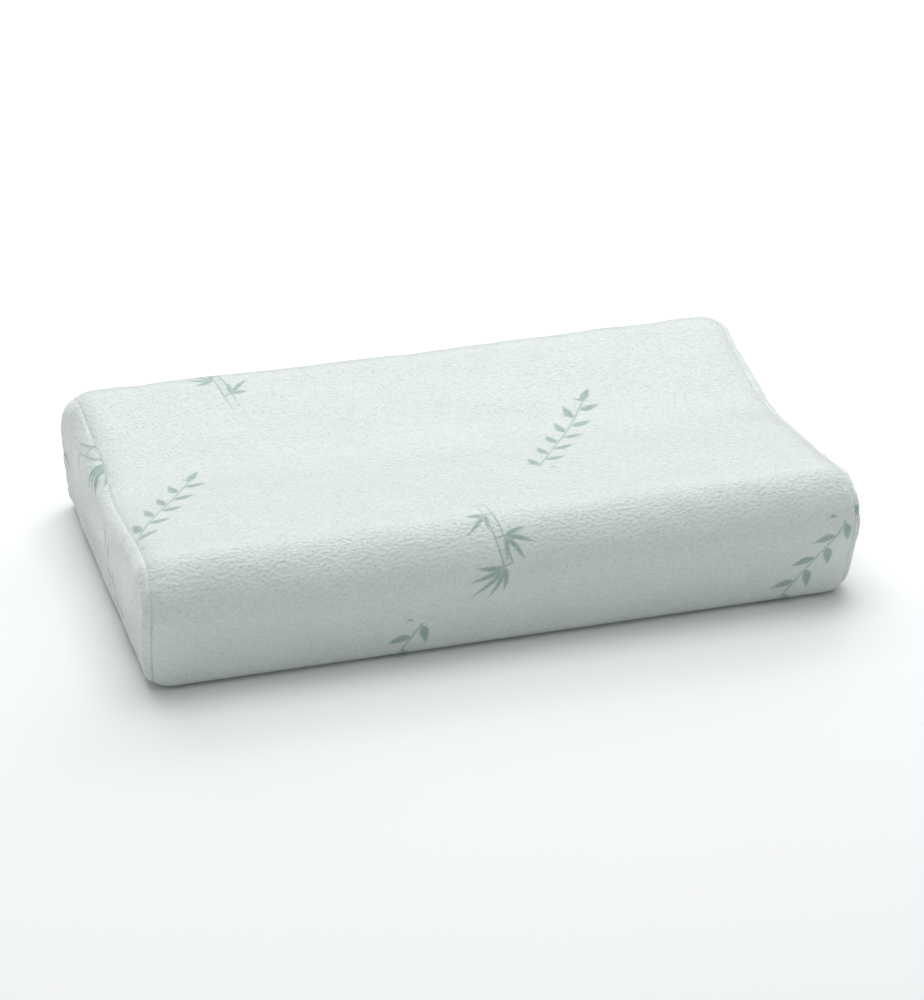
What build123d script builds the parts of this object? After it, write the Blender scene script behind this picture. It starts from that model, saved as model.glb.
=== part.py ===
from build123d import *

# Contour bed pillow, in millimetres: a two-lobed foam core in a thin sewn liner and a zipped knitted cover.
# X runs along the pillow's length, -Y is the low lobe at the front, +Y the high lobe at the back, +Z is up.
# The origin is on the flat underside, below the middle of the cover. The pillow is seen from the front, so
# its left end is at -X. Each piece is written to parts/NODE.step.

import os
from math import acos, atan2, cos, hypot, pi, sin

# ---- Overall shape of the filled cover -------------------------------------------------------------------
LENGTH = 500.0
DEPTH = 303.0
LOW_LOBE_HEIGHT = 91.0
HIGH_LOBE_HEIGHT = 97.0
DIP_HEIGHT = 78.0
DIP_OFFSET = 7.0  # the dip's lowest line lies this far behind the middle
LOW_LOBE_RADIUS = 32.0
HIGH_LOBE_RADIUS = 36.0
DIP_RADIUS = 140.0
FRONT_TUCK = 12.0  # the underside's front edge lies this far behind the low lobe's foremost line
BOTTOM_EDGE_RADIUS = 12.0
END_EDGE_RADIUS = 10.0  # rounding between the long sides and the two ends

# ---- Layers, from the outside in -------------------------------------------------------------------------
COVER_THICKNESS = 1.8
COVER_EASE = 1.0  # loose room between the cover and the liner
LINER_THICKNESS = 0.6
LINER_EASE = 0.2

# ---- Sewn seams ------------------------------------------------------------------------------------------
SEAM_SETBACK = 3.0  # the seam round each end lies this far in from that layer's end face
SEAM_ROW = 1.2  # width of a row of overlock stitches
THREAD = 0.4  # thickness of a row of sewing thread
LINER_SEAM_HEIGHT = 22.0  # height of the liner's closing seam on the back

# ---- Coil zip along the back -----------------------------------------------------------------------------
ZIP_LENGTH = 380.0  # length of the opening in the cover
ZIP_HEIGHT = 41.0  # height of its middle line on the back
OPENING_HEIGHT = 13.0  # gap between the two hems
HEM_WIDTH = 5.0
HEM_RISE = 1.0  # how far the folded hem stands out of the cover
HEM_ROUNDING = 0.6
TAPE_WIDTH = 13.5
TAPE_THICKNESS = 0.5
TAPE_DEPTH = 0.8  # how far the tapes' outer faces lie below the cover's surface
TAPE_OVERRUN = 8.0  # tape hidden under the cover past each end of the opening
POCKET_CLEARANCE = 0.5
COIL_WIDTH = 2.4  # width of one of the two coils
COIL_THICKNESS = 1.8
COIL_ROUNDING = 0.7
CHAIN_GAP = 1.2  # room between the coils for the slider's neck
BARTACK_LENGTH = 3.0
BARTACK_THICKNESS = 0.8

# ---- Slider and its pull tab -----------------------------------------------------------------------------
SLIDER_LENGTH = 13.0
SLIDER_WIDTH = 9.6
SLIDER_PLATE = 1.2
SLIDER_BACK_PLATE = 0.8
SLIDER_CLEARANCE = 0.2  # room between the slider and the chain that runs through it
SLIDER_CORNER = 2.5
SLIDER_ROUNDING = 0.5
NECK_LENGTH = 4.0
LUG_WIDTH = 2.0
LUG_RADIUS = 1.6
PIVOT_RISE = 1.9  # height of the tab's pivot above the slider's front plate
PIN_RADIUS = 0.6
PIN_CLEARANCE = 0.05
TAB_LENGTH = 27.0  # from the pivot to the free end
TAB_WIDTH = 6.4
TAB_THICKNESS = 1.2
TAB_CORNER = 1.9
TAB_GAP = 0.3  # room between the lug and the tab's arms
TAB_HOLE_WIDTH = 2.6
TAB_HOLE_LENGTH = 9.0
TAB_END_MARGIN = 2.4  # metal left between the hole and the tab's free end

# ---- Care label ------------------------------------------------------------------------------------------
LABEL_WIDTH = 22.0
LABEL_DROP = 26.0
LABEL_THICKNESS = 0.6  # two layers of folded ribbon
LABEL_STANDOFF = 0.5  # room between the label and the cover behind it
LABEL_FROM_OPENING = 20.0  # gap between the zip's opening and the label's near edge

# ---- Worked out from the sizes above. Places on the back are measured outwards from the cover's surface --
LINER_INSET = COVER_THICKNESS + COVER_EASE
CORE_INSET = LINER_INSET + LINER_THICKNESS + LINER_EASE
OPENING_END = ZIP_LENGTH / 2
CHAIN_END = OPENING_END - BARTACK_LENGTH
HEM_INSIDE = OPENING_HEIGHT / 2
HEM_OUTSIDE = HEM_INSIDE + HEM_WIDTH
COIL_INSIDE = CHAIN_GAP / 2
COIL_OUTSIDE = COIL_INSIDE + COIL_WIDTH
TAPE_FACE = -TAPE_DEPTH
TAPE_BACK = TAPE_FACE - TAPE_THICKNESS
CHAIN_FACE = TAPE_FACE + COIL_THICKNESS
PLATE_BASE = CHAIN_FACE + SLIDER_CLEARANCE
PLATE_FACE = PLATE_BASE + SLIDER_PLATE
BACK_PLATE_FACE = TAPE_BACK - SLIDER_CLEARANCE
PIVOT_OUT = PLATE_FACE + PIVOT_RISE
SLIDER_REST_X = CHAIN_END - SLIDER_CLEARANCE - SLIDER_LENGTH / 2

# The zip's own frame: x along the pillow, y down its back, z out of it.
ZIP_PLANE = Plane(origin=(0, DEPTH / 2, ZIP_HEIGHT), x_dir=(1, 0, 0), z_dir=(0, 1, 0))
UPPER, LOWER = -1, 1
LEFT, RIGHT = -1, 1


# ---- The pillow's outline and its layers -----------------------------------------------------------------
def outline_rounds():
    """The cross-section's rounds as (y, z, signed radius), anticlockwise from the front; hollow is negative."""
    half = DEPTH / 2
    return [
        (-half + FRONT_TUCK + BOTTOM_EDGE_RADIUS, BOTTOM_EDGE_RADIUS, BOTTOM_EDGE_RADIUS),
        (half - BOTTOM_EDGE_RADIUS, BOTTOM_EDGE_RADIUS, BOTTOM_EDGE_RADIUS),
        (half - HIGH_LOBE_RADIUS, HIGH_LOBE_HEIGHT - HIGH_LOBE_RADIUS, HIGH_LOBE_RADIUS),
        (DIP_OFFSET, DIP_HEIGHT + DIP_RADIUS, -DIP_RADIUS),
        (-half + LOW_LOBE_RADIUS, LOW_LOBE_HEIGHT - LOW_LOBE_RADIUS, LOW_LOBE_RADIUS),
    ]


def tangent_normal(start, end):
    """Direction of the outward normal of the straight run that touches two rounds, in radians."""
    run_y, run_z = end[0] - start[0], end[1] - start[1]
    return atan2(run_z, run_y) - acos((start[2] - end[2]) / hypot(run_y, run_z))


def on_round(stretch, angle, inset):
    """The point at an angle on a round, inset from the cover's surface."""
    reach = stretch[2] - inset
    return (stretch[0] + reach * cos(angle), stretch[1] + reach * sin(angle))


def outline(inset):
    """Cross-section of the pillow, inset from the cover's surface."""
    rounds = outline_rounds()
    followers = rounds[1:] + rounds[:1]
    normals = [tangent_normal(stretch, follower) for stretch, follower in zip(rounds, followers)]
    edges = []
    for i, (stretch, follower) in enumerate(zip(rounds, followers)):
        arrive, leave = normals[i - 1], normals[i]
        turn = (leave - arrive + pi) % (2 * pi) - pi
        start, middle, end = (on_round(stretch, arrive + turn * share, inset) for share in (0, 0.5, 1))
        edges.append(ThreePointArc(start, middle, end))
        edges.append(Line(end, on_round(follower, leave, inset)))
    return Plane.YZ * make_face(Wire(edges))


def block(inset):
    """The whole pillow as one solid, inset all round, with its two ends rounded over."""
    body = extrude(outline(inset), amount=LENGTH / 2 - inset, both=True)
    by_end = body.faces().sort_by(Axis.X)
    return fillet(by_end[0].edges() + by_end[-1].edges(), radius=END_EDGE_RADIUS - inset)


def seam_place(inset):
    """Distance of a layer's end seams from the middle of the pillow."""
    return LENGTH / 2 - inset - SEAM_SETBACK


def between(low_x, high_x):
    """A slab that holds everything between two places along the length."""
    middle = Pos((low_x + high_x) / 2, 0, HIGH_LOBE_HEIGHT / 2)
    return middle * Box(high_x - low_x, 2 * DEPTH, 2 * HIGH_LOBE_HEIGHT)


def bag_panels(inset, thickness):
    """A closed cloth bag, cut along its two end seams into its wrapped panel, left end and right end."""
    bag = block(inset) - block(inset + thickness)
    seam = seam_place(inset)
    return bag & between(-seam, seam), bag & between(-LENGTH, -seam), bag & between(seam, LENGTH)


def end_seam_row(side, inset):
    """The row of overlock stitches round one end of a layer, on that layer's outside."""
    seam = seam_place(inset)
    row = (block(inset - THREAD) - block(inset)) & between(seam - SEAM_ROW, seam)
    return row if side == RIGHT else mirror(row, about=Plane.YZ)


# ---- Pieces on the back, each in the zip's own frame -----------------------------------------------------
def slab(along, down, out):
    """Box between two limits along each axis of the zip's frame."""
    centre = Pos(*((low + high) / 2 for low, high in (along, down, out)))
    return centre * Box(*(high - low for low, high in (along, down, out)))


def on_side(side, near, far):
    """The limits from near to far on one side of a middle line, lowest first."""
    return tuple(sorted((side * near, side * far)))


def both_ways(reach):
    """Limits at the same distance each way from a middle line."""
    return (-reach, reach)


def round_crest(bar, radius):
    """A bar with the two long edges of its outer face rounded."""
    crest = bar.faces().sort_by(Axis.Z)[-1]
    return fillet(crest.edges().filter_by(Axis.X), radius=radius)


def zip_opening():
    """What the zip takes out of the wrapped panel: the opening and the pocket behind the hems."""
    inside = -(COVER_THICKNESS + COVER_EASE / 2)
    pocket_end = OPENING_END + TAPE_OVERRUN + POCKET_CLEARANCE
    pocket_reach = COIL_INSIDE + TAPE_WIDTH + POCKET_CLEARANCE
    opening = slab(both_ways(OPENING_END), both_ways(HEM_INSIDE), (inside, HEM_RISE))
    return opening + slab(both_ways(pocket_end), both_ways(pocket_reach), (inside, TAPE_FACE))


def zip_hem(side):
    """One folded hem beside the opening, standing out of the cover."""
    bar = slab(both_ways(OPENING_END), on_side(side, HEM_INSIDE, HEM_OUTSIDE), (TAPE_FACE, HEM_RISE))
    return round_crest(bar, HEM_ROUNDING)


def zip_tape(side):
    """One woven tape; its inner edge carries a coil and the rest lies hidden behind the hem."""
    width = on_side(side, COIL_INSIDE, COIL_INSIDE + TAPE_WIDTH)
    return slab(both_ways(OPENING_END + TAPE_OVERRUN), width, (TAPE_BACK, TAPE_FACE))


def zip_coil(side):
    """One coil of the closed chain, as the plain bar that its turns fill."""
    bar = slab(both_ways(CHAIN_END), on_side(side, COIL_INSIDE, COIL_OUTSIDE), (TAPE_FACE, CHAIN_FACE))
    return round_crest(bar, COIL_ROUNDING)


def zip_stitching(side):
    """The row of topstitching that holds a hem down on its tape."""
    middle = (HEM_INSIDE + HEM_OUTSIDE) / 2
    row = on_side(side, middle - THREAD, middle + THREAD)
    return slab(both_ways(CHAIN_END), row, (HEM_RISE, HEM_RISE + THREAD))


def zip_bartack(side):
    """The dense block of stitches that closes one end of the zip and stops the slider."""
    length = on_side(side, CHAIN_END, OPENING_END)
    over_hems = slab(length, both_ways(HEM_OUTSIDE), (HEM_RISE, HEM_RISE + BARTACK_THICKNESS))
    return over_hems + slab(length, both_ways(HEM_INSIDE), (TAPE_FACE, HEM_RISE))


def closing_seam(side):
    """The short sunk seam that joins the wrapped panel's two edges between the zip and one end."""
    length = on_side(side, OPENING_END, LENGTH / 2 - END_EDGE_RADIUS)
    return slab(length, both_ways(THREAD), (-THREAD, 0))


def liner_closing_seam():
    """The row of stitches that closes the liner along its back, standing on the liner's outside."""
    down = ZIP_HEIGHT - LINER_SEAM_HEIGHT
    row = (down - SEAM_ROW / 2, down + SEAM_ROW / 2)
    return slab(both_ways(LENGTH / 2 - END_EDGE_RADIUS), row, (-LINER_INSET, THREAD - LINER_INSET))


def slider():
    """The zip's slider: two plates, the neck between them, the rims that hold the coils, and the tab's lug."""
    half_length, half_width = SLIDER_LENGTH / 2, SLIDER_WIDTH / 2
    footprint = RectangleRounded(SLIDER_LENGTH, SLIDER_WIDTH, SLIDER_CORNER)
    front = Pos(0, 0, PLATE_BASE) * extrude(footprint, SLIDER_PLATE)
    front = fillet(front.faces().sort_by(Axis.Z)[-1].edges(), radius=SLIDER_ROUNDING)
    back = Pos(0, 0, BACK_PLATE_FACE - SLIDER_BACK_PLATE) * extrude(footprint, SLIDER_BACK_PLATE)
    neck_end = half_length - SLIDER_CLEARANCE
    neck_reach = both_ways(COIL_INSIDE - SLIDER_CLEARANCE)
    body = front + back + slab((neck_end - NECK_LENGTH, neck_end), neck_reach, (BACK_PLATE_FACE, PLATE_BASE))
    rim_out = (TAPE_FACE + SLIDER_CLEARANCE, PLATE_BASE)
    for side in (UPPER, LOWER):
        rim = on_side(side, COIL_OUTSIDE + SLIDER_CLEARANCE, half_width)
        body += slab(both_ways(half_length - SLIDER_CORNER), rim, rim_out)
    pivot = Pos(0, 0, PIVOT_OUT) * Rot(90, 0, 0)
    lug = slab(both_ways(LUG_RADIUS), both_ways(LUG_WIDTH / 2), (PLATE_FACE, PIVOT_OUT))
    lug += pivot * Cylinder(LUG_RADIUS, LUG_WIDTH)
    return body + lug - pivot * Cylinder(PIN_RADIUS + PIN_CLEARANCE, 2 * LUG_WIDTH)


def pull_tab():
    """The pull tab: two arms with the pin between them, a plate with a slot in it, and a rounded free end."""
    arm_inside = LUG_WIDTH / 2 + TAB_GAP
    bridge = -(LUG_RADIUS + TAB_GAP)
    plate = Pos(-TAB_LENGTH / 2, 0) * RectangleRounded(TAB_LENGTH, TAB_WIDTH, TAB_CORNER)
    plate += Rectangle(2 * TAB_THICKNESS, TAB_WIDTH)
    plate -= Pos(bridge + TAB_LENGTH / 2, 0) * Rectangle(TAB_LENGTH, 2 * arm_inside)
    hole_middle = -TAB_LENGTH + TAB_END_MARGIN + TAB_HOLE_LENGTH / 2
    plate -= Pos(hole_middle, 0) * SlotOverall(TAB_HOLE_LENGTH, TAB_HOLE_WIDTH)
    tab = extrude(plate, amount=TAB_THICKNESS / 2, both=True)
    return Pos(0, 0, PIVOT_OUT) * (tab + Rot(90, 0, 0) * Cylinder(PIN_RADIUS, TAB_WIDTH))


def care_label():
    """The blank care label: a folded ribbon that hangs from the closing seam at the back."""
    near = OPENING_END + LABEL_FROM_OPENING
    out = (LABEL_STANDOFF, LABEL_STANDOFF + LABEL_THICKNESS)
    return slab(on_side(LEFT, near, near + LABEL_WIDTH), (0, LABEL_DROP), out)


# ---- The whole pillow ------------------------------------------------------------------------------------
def build_foam_and_liner():
    """The foam core and the liner sewn round it, by node name."""
    wrap, left, right = bag_panels(LINER_INSET, LINER_THICKNESS)
    return {
        "foam_core": block(CORE_INSET),
        "liner_wrap": wrap,
        "liner_end_left": left,
        "liner_end_right": right,
        "liner_end_stitching_left": end_seam_row(LEFT, LINER_INSET),
        "liner_end_stitching_right": end_seam_row(RIGHT, LINER_INSET),
        "liner_closing_stitching": ZIP_PLANE * liner_closing_seam(),
    }


def build_cover():
    """The knitted cover's panels and its sewn seams, by node name."""
    wrap, left, right = bag_panels(0, COVER_THICKNESS)
    seams = {"left": ZIP_PLANE * closing_seam(LEFT), "right": ZIP_PLANE * closing_seam(RIGHT)}
    wrap -= ZIP_PLANE * zip_opening()
    wrap += [ZIP_PLANE * zip_hem(side) for side in (UPPER, LOWER)]
    wrap -= list(seams.values())
    return {
        "cover_wrap": wrap,
        "cover_end_left": left,
        "cover_end_right": right,
        "cover_end_stitching_left": end_seam_row(LEFT, 0),
        "cover_end_stitching_right": end_seam_row(RIGHT, 0),
        "cover_closing_stitching_left": seams["left"],
        "cover_closing_stitching_right": seams["right"],
    }


def build_zip():
    """The zip's pieces and the care label, by node name."""
    pieces = {}
    for name, side in (("upper", UPPER), ("lower", LOWER)):
        pieces[f"zip_tape_{name}"] = zip_tape(side)
        pieces[f"zip_coil_{name}"] = zip_coil(side)
        pieces[f"zip_stitching_{name}"] = zip_stitching(side)
    for name, side in (("left", LEFT), ("right", RIGHT)):
        pieces[f"zip_bartack_{name}"] = zip_bartack(side)
    pieces["zip_slider"] = Pos(SLIDER_REST_X, 0, 0) * slider()
    pieces["zip_pull_tab"] = Pos(SLIDER_REST_X, 0, 0) * pull_tab()
    pieces["care_label"] = care_label()
    return {name: ZIP_PLANE * piece for name, piece in pieces.items()}


os.makedirs("parts", exist_ok=True)
for node, piece in {**build_foam_and_liner(), **build_cover(), **build_zip()}.items():
    export_step(piece, f"parts/{node}.step")
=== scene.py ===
"""Contour bed pillow: a knitted cover drawn over a foam core, with its liner, seams, zip and care label."""

import logging
import math
from dataclasses import dataclass, field
from enum import Enum

import bmesh
import bpy
import numpy as np
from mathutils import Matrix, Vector


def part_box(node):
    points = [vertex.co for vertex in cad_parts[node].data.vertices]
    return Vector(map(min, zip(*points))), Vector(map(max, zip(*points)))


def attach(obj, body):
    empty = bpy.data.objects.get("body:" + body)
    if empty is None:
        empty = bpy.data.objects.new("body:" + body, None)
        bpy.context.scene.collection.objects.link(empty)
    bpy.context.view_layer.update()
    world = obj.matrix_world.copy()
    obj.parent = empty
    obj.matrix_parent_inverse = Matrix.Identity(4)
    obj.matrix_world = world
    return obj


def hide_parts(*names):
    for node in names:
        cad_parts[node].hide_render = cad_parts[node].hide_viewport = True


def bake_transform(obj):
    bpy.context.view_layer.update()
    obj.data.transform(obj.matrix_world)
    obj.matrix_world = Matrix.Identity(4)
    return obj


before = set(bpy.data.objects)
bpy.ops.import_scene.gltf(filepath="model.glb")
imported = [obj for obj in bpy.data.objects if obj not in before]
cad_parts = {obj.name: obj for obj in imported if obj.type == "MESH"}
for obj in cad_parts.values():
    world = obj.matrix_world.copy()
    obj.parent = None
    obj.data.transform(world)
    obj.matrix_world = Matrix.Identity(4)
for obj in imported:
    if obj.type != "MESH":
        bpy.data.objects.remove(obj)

MM = 0.001
CLOTH_UV = "cloth"
UP_ATTRIBUTE = "up"
PILLOW_BODY = "pillow"
UV_MARGIN = 0.3  # keeps every place on the cloth positive

log = logging.getLogger("pillow")

Socket = bpy.types.NodeSocket
Value = float | int | str | bool | tuple | Socket | bpy.types.Material


class End(Enum):
    """The pillow's two ends, as seen from the front; the value is the sign of X there."""

    LEFT = -1
    RIGHT = 1


class ZipSide(Enum):
    """The two sides of the zip's middle line; the value is the sign of Z there."""

    UPPER = 1
    LOWER = -1


# ---- Small helpers ---------------------------------------------------------------------------------------
def ripples(across: np.ndarray, along: np.ndarray, wavelength: float, spread: float, seed: int) -> np.ndarray:
    """A seeded, smooth random surface made of plane waves.

    Args:
        across: First coordinate of each point, in metres.
        along: Second coordinate of each point, in metres.
        wavelength: The middle wavelength, in metres.
        spread: How far wavelengths stray from it, as a share.
        seed: Fixed seed.

    Returns:
        Heights of about unit size, one for each point.
    """
    waves = 18
    random = np.random.default_rng(seed)
    total = np.zeros(np.broadcast(across, along).shape)
    for _ in range(waves):
        heading = random.uniform(0, 2 * math.pi)
        count = 2 * math.pi / (wavelength * (1 + spread * random.uniform(-1, 1)))
        phase = random.uniform(0, 2 * math.pi)
        total += np.cos(count * (across * math.cos(heading) + along * math.sin(heading)) + phase)
    return total / math.sqrt(waves / 2)


def smooth_step(value: np.ndarray, low: float, high: float) -> np.ndarray:
    """Rises smoothly from 0 at low to 1 at high."""
    share = np.clip((value - low) / (high - low), 0, 1)
    return share * share * (3 - 2 * share)


def new_object(name: str, mesh: bpy.types.Mesh, material: bpy.types.Material | None) -> bpy.types.Object:
    """Links a mesh into the scene as a smooth-shaded object with one material."""
    piece = bpy.data.objects.new(name, mesh)
    bpy.context.scene.collection.objects.link(piece)
    if material is not None:
        mesh.materials.clear()
        mesh.materials.append(material)
    mesh.polygons.foreach_set("use_smooth", [True] * len(mesh.polygons))
    return piece


def dress(piece: bpy.types.Object, node: str) -> None:
    """Lets a piece of the pillow stand for a CAD node: puts it on the pillow's body and hides the node.

    Args:
        piece: the finished piece.
        node: the CAD node that it stands for.
    """
    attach(piece, PILLOW_BODY)
    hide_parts(node)


def thicken(piece: bpy.types.Object, thickness: float, offset: float) -> None:
    """Gives a cloth its thickness.

    Args:
        piece: the cloth, as a single layer.
        thickness: how thick it becomes.
        offset: -1 puts all of it on the inner side, 0 half on each.
    """
    wall = piece.modifiers.new("thickness", "SOLIDIFY")
    wall.thickness = thickness
    wall.offset = offset


def grid_mesh(
    name: str, points: np.ndarray, cloth: np.ndarray, keep: np.ndarray | None = None, closed: bool = False
) -> bpy.types.Mesh:
    """Makes a mesh of a grid of points, with its places on the cloth as a UV map.

    Args:
        name: The mesh's name.
        points: Positions, rows by columns by 3.
        cloth: Places on the cloth, rows by columns by 2.
        keep: Which quads to keep, rows - 1 by columns - 1, or None for all.
        closed: Whether the last column meets the first and rows may meet in a line, which are then joined.

    Returns:
        The mesh, without loose points or collapsed faces.
    """
    rows, columns = points.shape[:2]
    index = np.arange(rows * columns).reshape(rows, columns)
    corners = np.stack([index[:-1, :-1], index[1:, :-1], index[1:, 1:], index[:-1, 1:]], -1)
    corners = corners.reshape(-1, 4) if keep is None else corners[keep]
    used, packed = np.unique(corners, return_inverse=True)
    mesh = bpy.data.meshes.new(name)
    mesh.from_pydata(points.reshape(-1, 3)[used].tolist(), [], packed.reshape(-1, 4).tolist())
    places = np.ascontiguousarray(cloth.reshape(-1, 2)[corners.ravel()], np.float32)
    mesh.uv_layers.new(name=CLOTH_UV).data.foreach_set("uv", places.ravel())
    if closed:
        shape = bmesh.new()
        shape.from_mesh(mesh)
        bmesh.ops.remove_doubles(shape, verts=shape.verts, dist=0.05 * MM)
        shape.to_mesh(mesh)
        shape.free()
    return mesh


# ---- Node building ---------------------------------------------------------------------------------------
class NodePatch:
    """Adds nodes to one tree and joins them as they are added."""

    def __init__(self, tree: bpy.types.NodeTree) -> None:
        """Works in the given tree."""
        self.tree = tree

    def feed(self, socket: Socket, value: Value) -> None:
        """Sets an input to a value, or joins it to another node's output."""
        if isinstance(value, bpy.types.NodeSocket):
            self.tree.links.new(value, socket)
        else:
            socket.default_value = value

    def add(
        self, kind: str, inputs: dict[str | int, Value] | None = None, **settings: Value
    ) -> bpy.types.Node:
        """Adds a node.

        Args:
            kind: The node's type name.
            inputs: Values or outputs for its inputs, by name or number.
            settings: The node's own properties.

        Returns:
            The new node.
        """
        node = self.tree.nodes.new(kind)
        for name, value in settings.items():
            setattr(node, name, value)
        for key, value in (inputs or {}).items():
            self.feed(node.inputs[key], value)
        return node

    def math(self, operation: str, *values: float | Socket, clamp: bool = False) -> Socket:
        """One Math node; returns its result."""
        inputs = dict(enumerate(values))
        return self.add("ShaderNodeMath", inputs, operation=operation, use_clamp=clamp).outputs[0]

    def turned(self, vector: Socket, angle: float | Socket) -> Socket:
        """A vector turned about Z by an angle in radians."""
        inputs = {"Vector": vector, "Angle": angle}
        return self.add("ShaderNodeVectorRotate", inputs, rotation_type="Z_AXIS").outputs[0]

    def vector(self, operation: str, *values: tuple | Socket) -> Socket:
        """One Vector Math node; returns its vector."""
        return self.add("ShaderNodeVectorMath", dict(enumerate(values)), operation=operation).outputs[0]

    def split(self, vector: Socket) -> tuple[Socket, Socket, Socket]:
        """The three parts of a vector."""
        return tuple(self.add("ShaderNodeSeparateXYZ", {0: vector}).outputs[:3])

    def join(self, x: float | Socket, y: float | Socket, z: float | Socket = 0.0) -> Socket:
        """A vector of three parts."""
        return self.add("ShaderNodeCombineXYZ", {0: x, 1: y, 2: z}).outputs[0]

    def ramp(self, value: Socket, low: float | Socket, high: float | Socket, smooth: bool = True) -> Socket:
        """Maps low to 0 and high to 1, clamped, with eased ends where smooth."""
        easing = "SMOOTHSTEP" if smooth else "LINEAR"
        inputs = {"Value": value, "From Min": low, "From Max": high}
        return self.add("ShaderNodeMapRange", inputs, interpolation_type=easing).outputs[0]

    def noise(self, vector: Socket, scale: float, detail: float = 2.0, roughness: float = 0.5) -> Socket:
        """Noise from 0 to 1 at a scale."""
        inputs = {"Vector": vector, "Scale": scale, "Detail": detail, "Roughness": roughness}
        return self.add("ShaderNodeTexNoise", inputs).outputs[0]

    def mix_colour(self, share: float | Socket, first: tuple | Socket, second: tuple | Socket) -> Socket:
        """Blends two colours."""
        node = self.add("ShaderNodeMix", data_type="RGBA")
        self.feed(node.inputs[0], share)
        self.feed(node.inputs[6], first)
        self.feed(node.inputs[7], second)
        return node.outputs[2]

    def group(self, tree: bpy.types.NodeTree, inputs: dict[str, Value]) -> bpy.types.Node:
        """Adds a group node with its inputs set or joined."""
        node = self.tree.nodes.new(f"{self.tree.bl_idname.removesuffix('Tree')}Group")
        node.node_tree = tree
        for key, value in inputs.items():
            self.feed(node.inputs[key], value)
        return node


def new_group(name: str, kind: str, inputs: dict[str, str], outputs: dict[str, str]) -> bpy.types.NodeTree:
    """An empty node group with named sockets.

    Args:
        name: The group's name.
        kind: The tree's type, such as ShaderNodeTree.
        inputs: Socket kinds by name, without their NodeSocket prefix.
        outputs: The same for the outputs.

    Returns:
        The new group.
    """
    tree = bpy.data.node_groups.new(name, kind)
    for way, sockets in (("INPUT", inputs), ("OUTPUT", outputs)):
        for socket, socket_kind in sockets.items():
            tree.interface.new_socket(socket, in_out=way, socket_type=f"NodeSocket{socket_kind}")
    return tree


# ---- The woven-in pattern --------------------------------------------------------------------------------
@dataclass(frozen=True)
class Leaf:
    """One pointed leaf or stroke of a sprig, from its base to its tip, in millimetres on the cloth."""

    base: tuple[float, float]
    tip: tuple[float, float]
    width: float

    @property
    def length(self) -> float:
        """How long it is."""
        return math.dist(self.base, self.tip)

    @property
    def heading(self) -> float:
        """Which way it points, in radians."""
        return math.atan2(self.tip[1] - self.base[1], self.tip[0] - self.base[0])


@dataclass(frozen=True)
class LeafShape:
    """The shader group that measures how far inside one pointed leaf a place lies."""

    fullness: float = 0.72  # under 1 puts the widest part nearer the base
    bow: float = 0.05  # how far a leaf bends aside, as a share of its length

    def tree(self) -> bpy.types.NodeTree:
        """Builds the group.

        Returns:
            A group from a place, base, heading, length and width to a depth in millimetres, negative outside.
        """
        inputs = {"Place": "Vector", "Base": "Vector"}
        inputs |= {"Heading": "Float", "Length": "Float", "Width": "Float"}
        tree = new_group("pointed_leaf", "ShaderNodeTree", inputs, {"Depth": "Float"})
        patch = NodePatch(tree)
        given = patch.add("NodeGroupInput").outputs
        moved = patch.vector("SUBTRACT", given["Place"], given["Base"])
        turned = patch.turned(moved, patch.math("MULTIPLY", given["Heading"], -1.0))
        along, across, _ = patch.split(turned)
        share = patch.math("POWER", patch.math("DIVIDE", along, given["Length"], clamp=True), self.fullness)
        swell = patch.math("SINE", patch.math("MULTIPLY", share, math.pi))
        reach = patch.math("MULTIPLY", swell, patch.math("MULTIPLY", given["Width"], 0.5))
        beyond = patch.math("SUBTRACT", along, given["Length"])
        over = patch.math("MAXIMUM", patch.math("MAXIMUM", beyond, patch.math("MULTIPLY", along, -1.0)), 0.0)
        bent = patch.math("MULTIPLY", swell, patch.math("MULTIPLY", given["Length"], self.bow))
        off = patch.math("ADD", patch.math("ABSOLUTE", patch.math("SUBTRACT", across, bent)), over)
        patch.add("NodeGroupOutput", {"Depth": patch.math("SUBTRACT", reach, off)})
        return tree


@dataclass(frozen=True)
class Spray:
    """A fan of leaves from one joint of a cane, evenly spread, in millimetres and degrees."""

    root: tuple[float, float]
    heading: float
    count: int
    longest: float
    spread: float = 100.0
    width: float = 4.2
    shortening: float = 0.7  # how much shorter the outer leaves are, as a share for half the spread

    def leaves(self) -> list[Leaf]:
        """The leaves, with the middle ones longest."""
        found = []
        for share in np.linspace(-0.5, 0.5, self.count).tolist():
            heading = math.radians(self.heading + self.spread * share)
            length = self.longest * (1 - self.shortening * abs(share))
            tip = (self.root[0] + length * math.cos(heading), self.root[1] + length * math.sin(heading))
            found.append(Leaf(self.root, tip, self.width))
        return found


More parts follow.
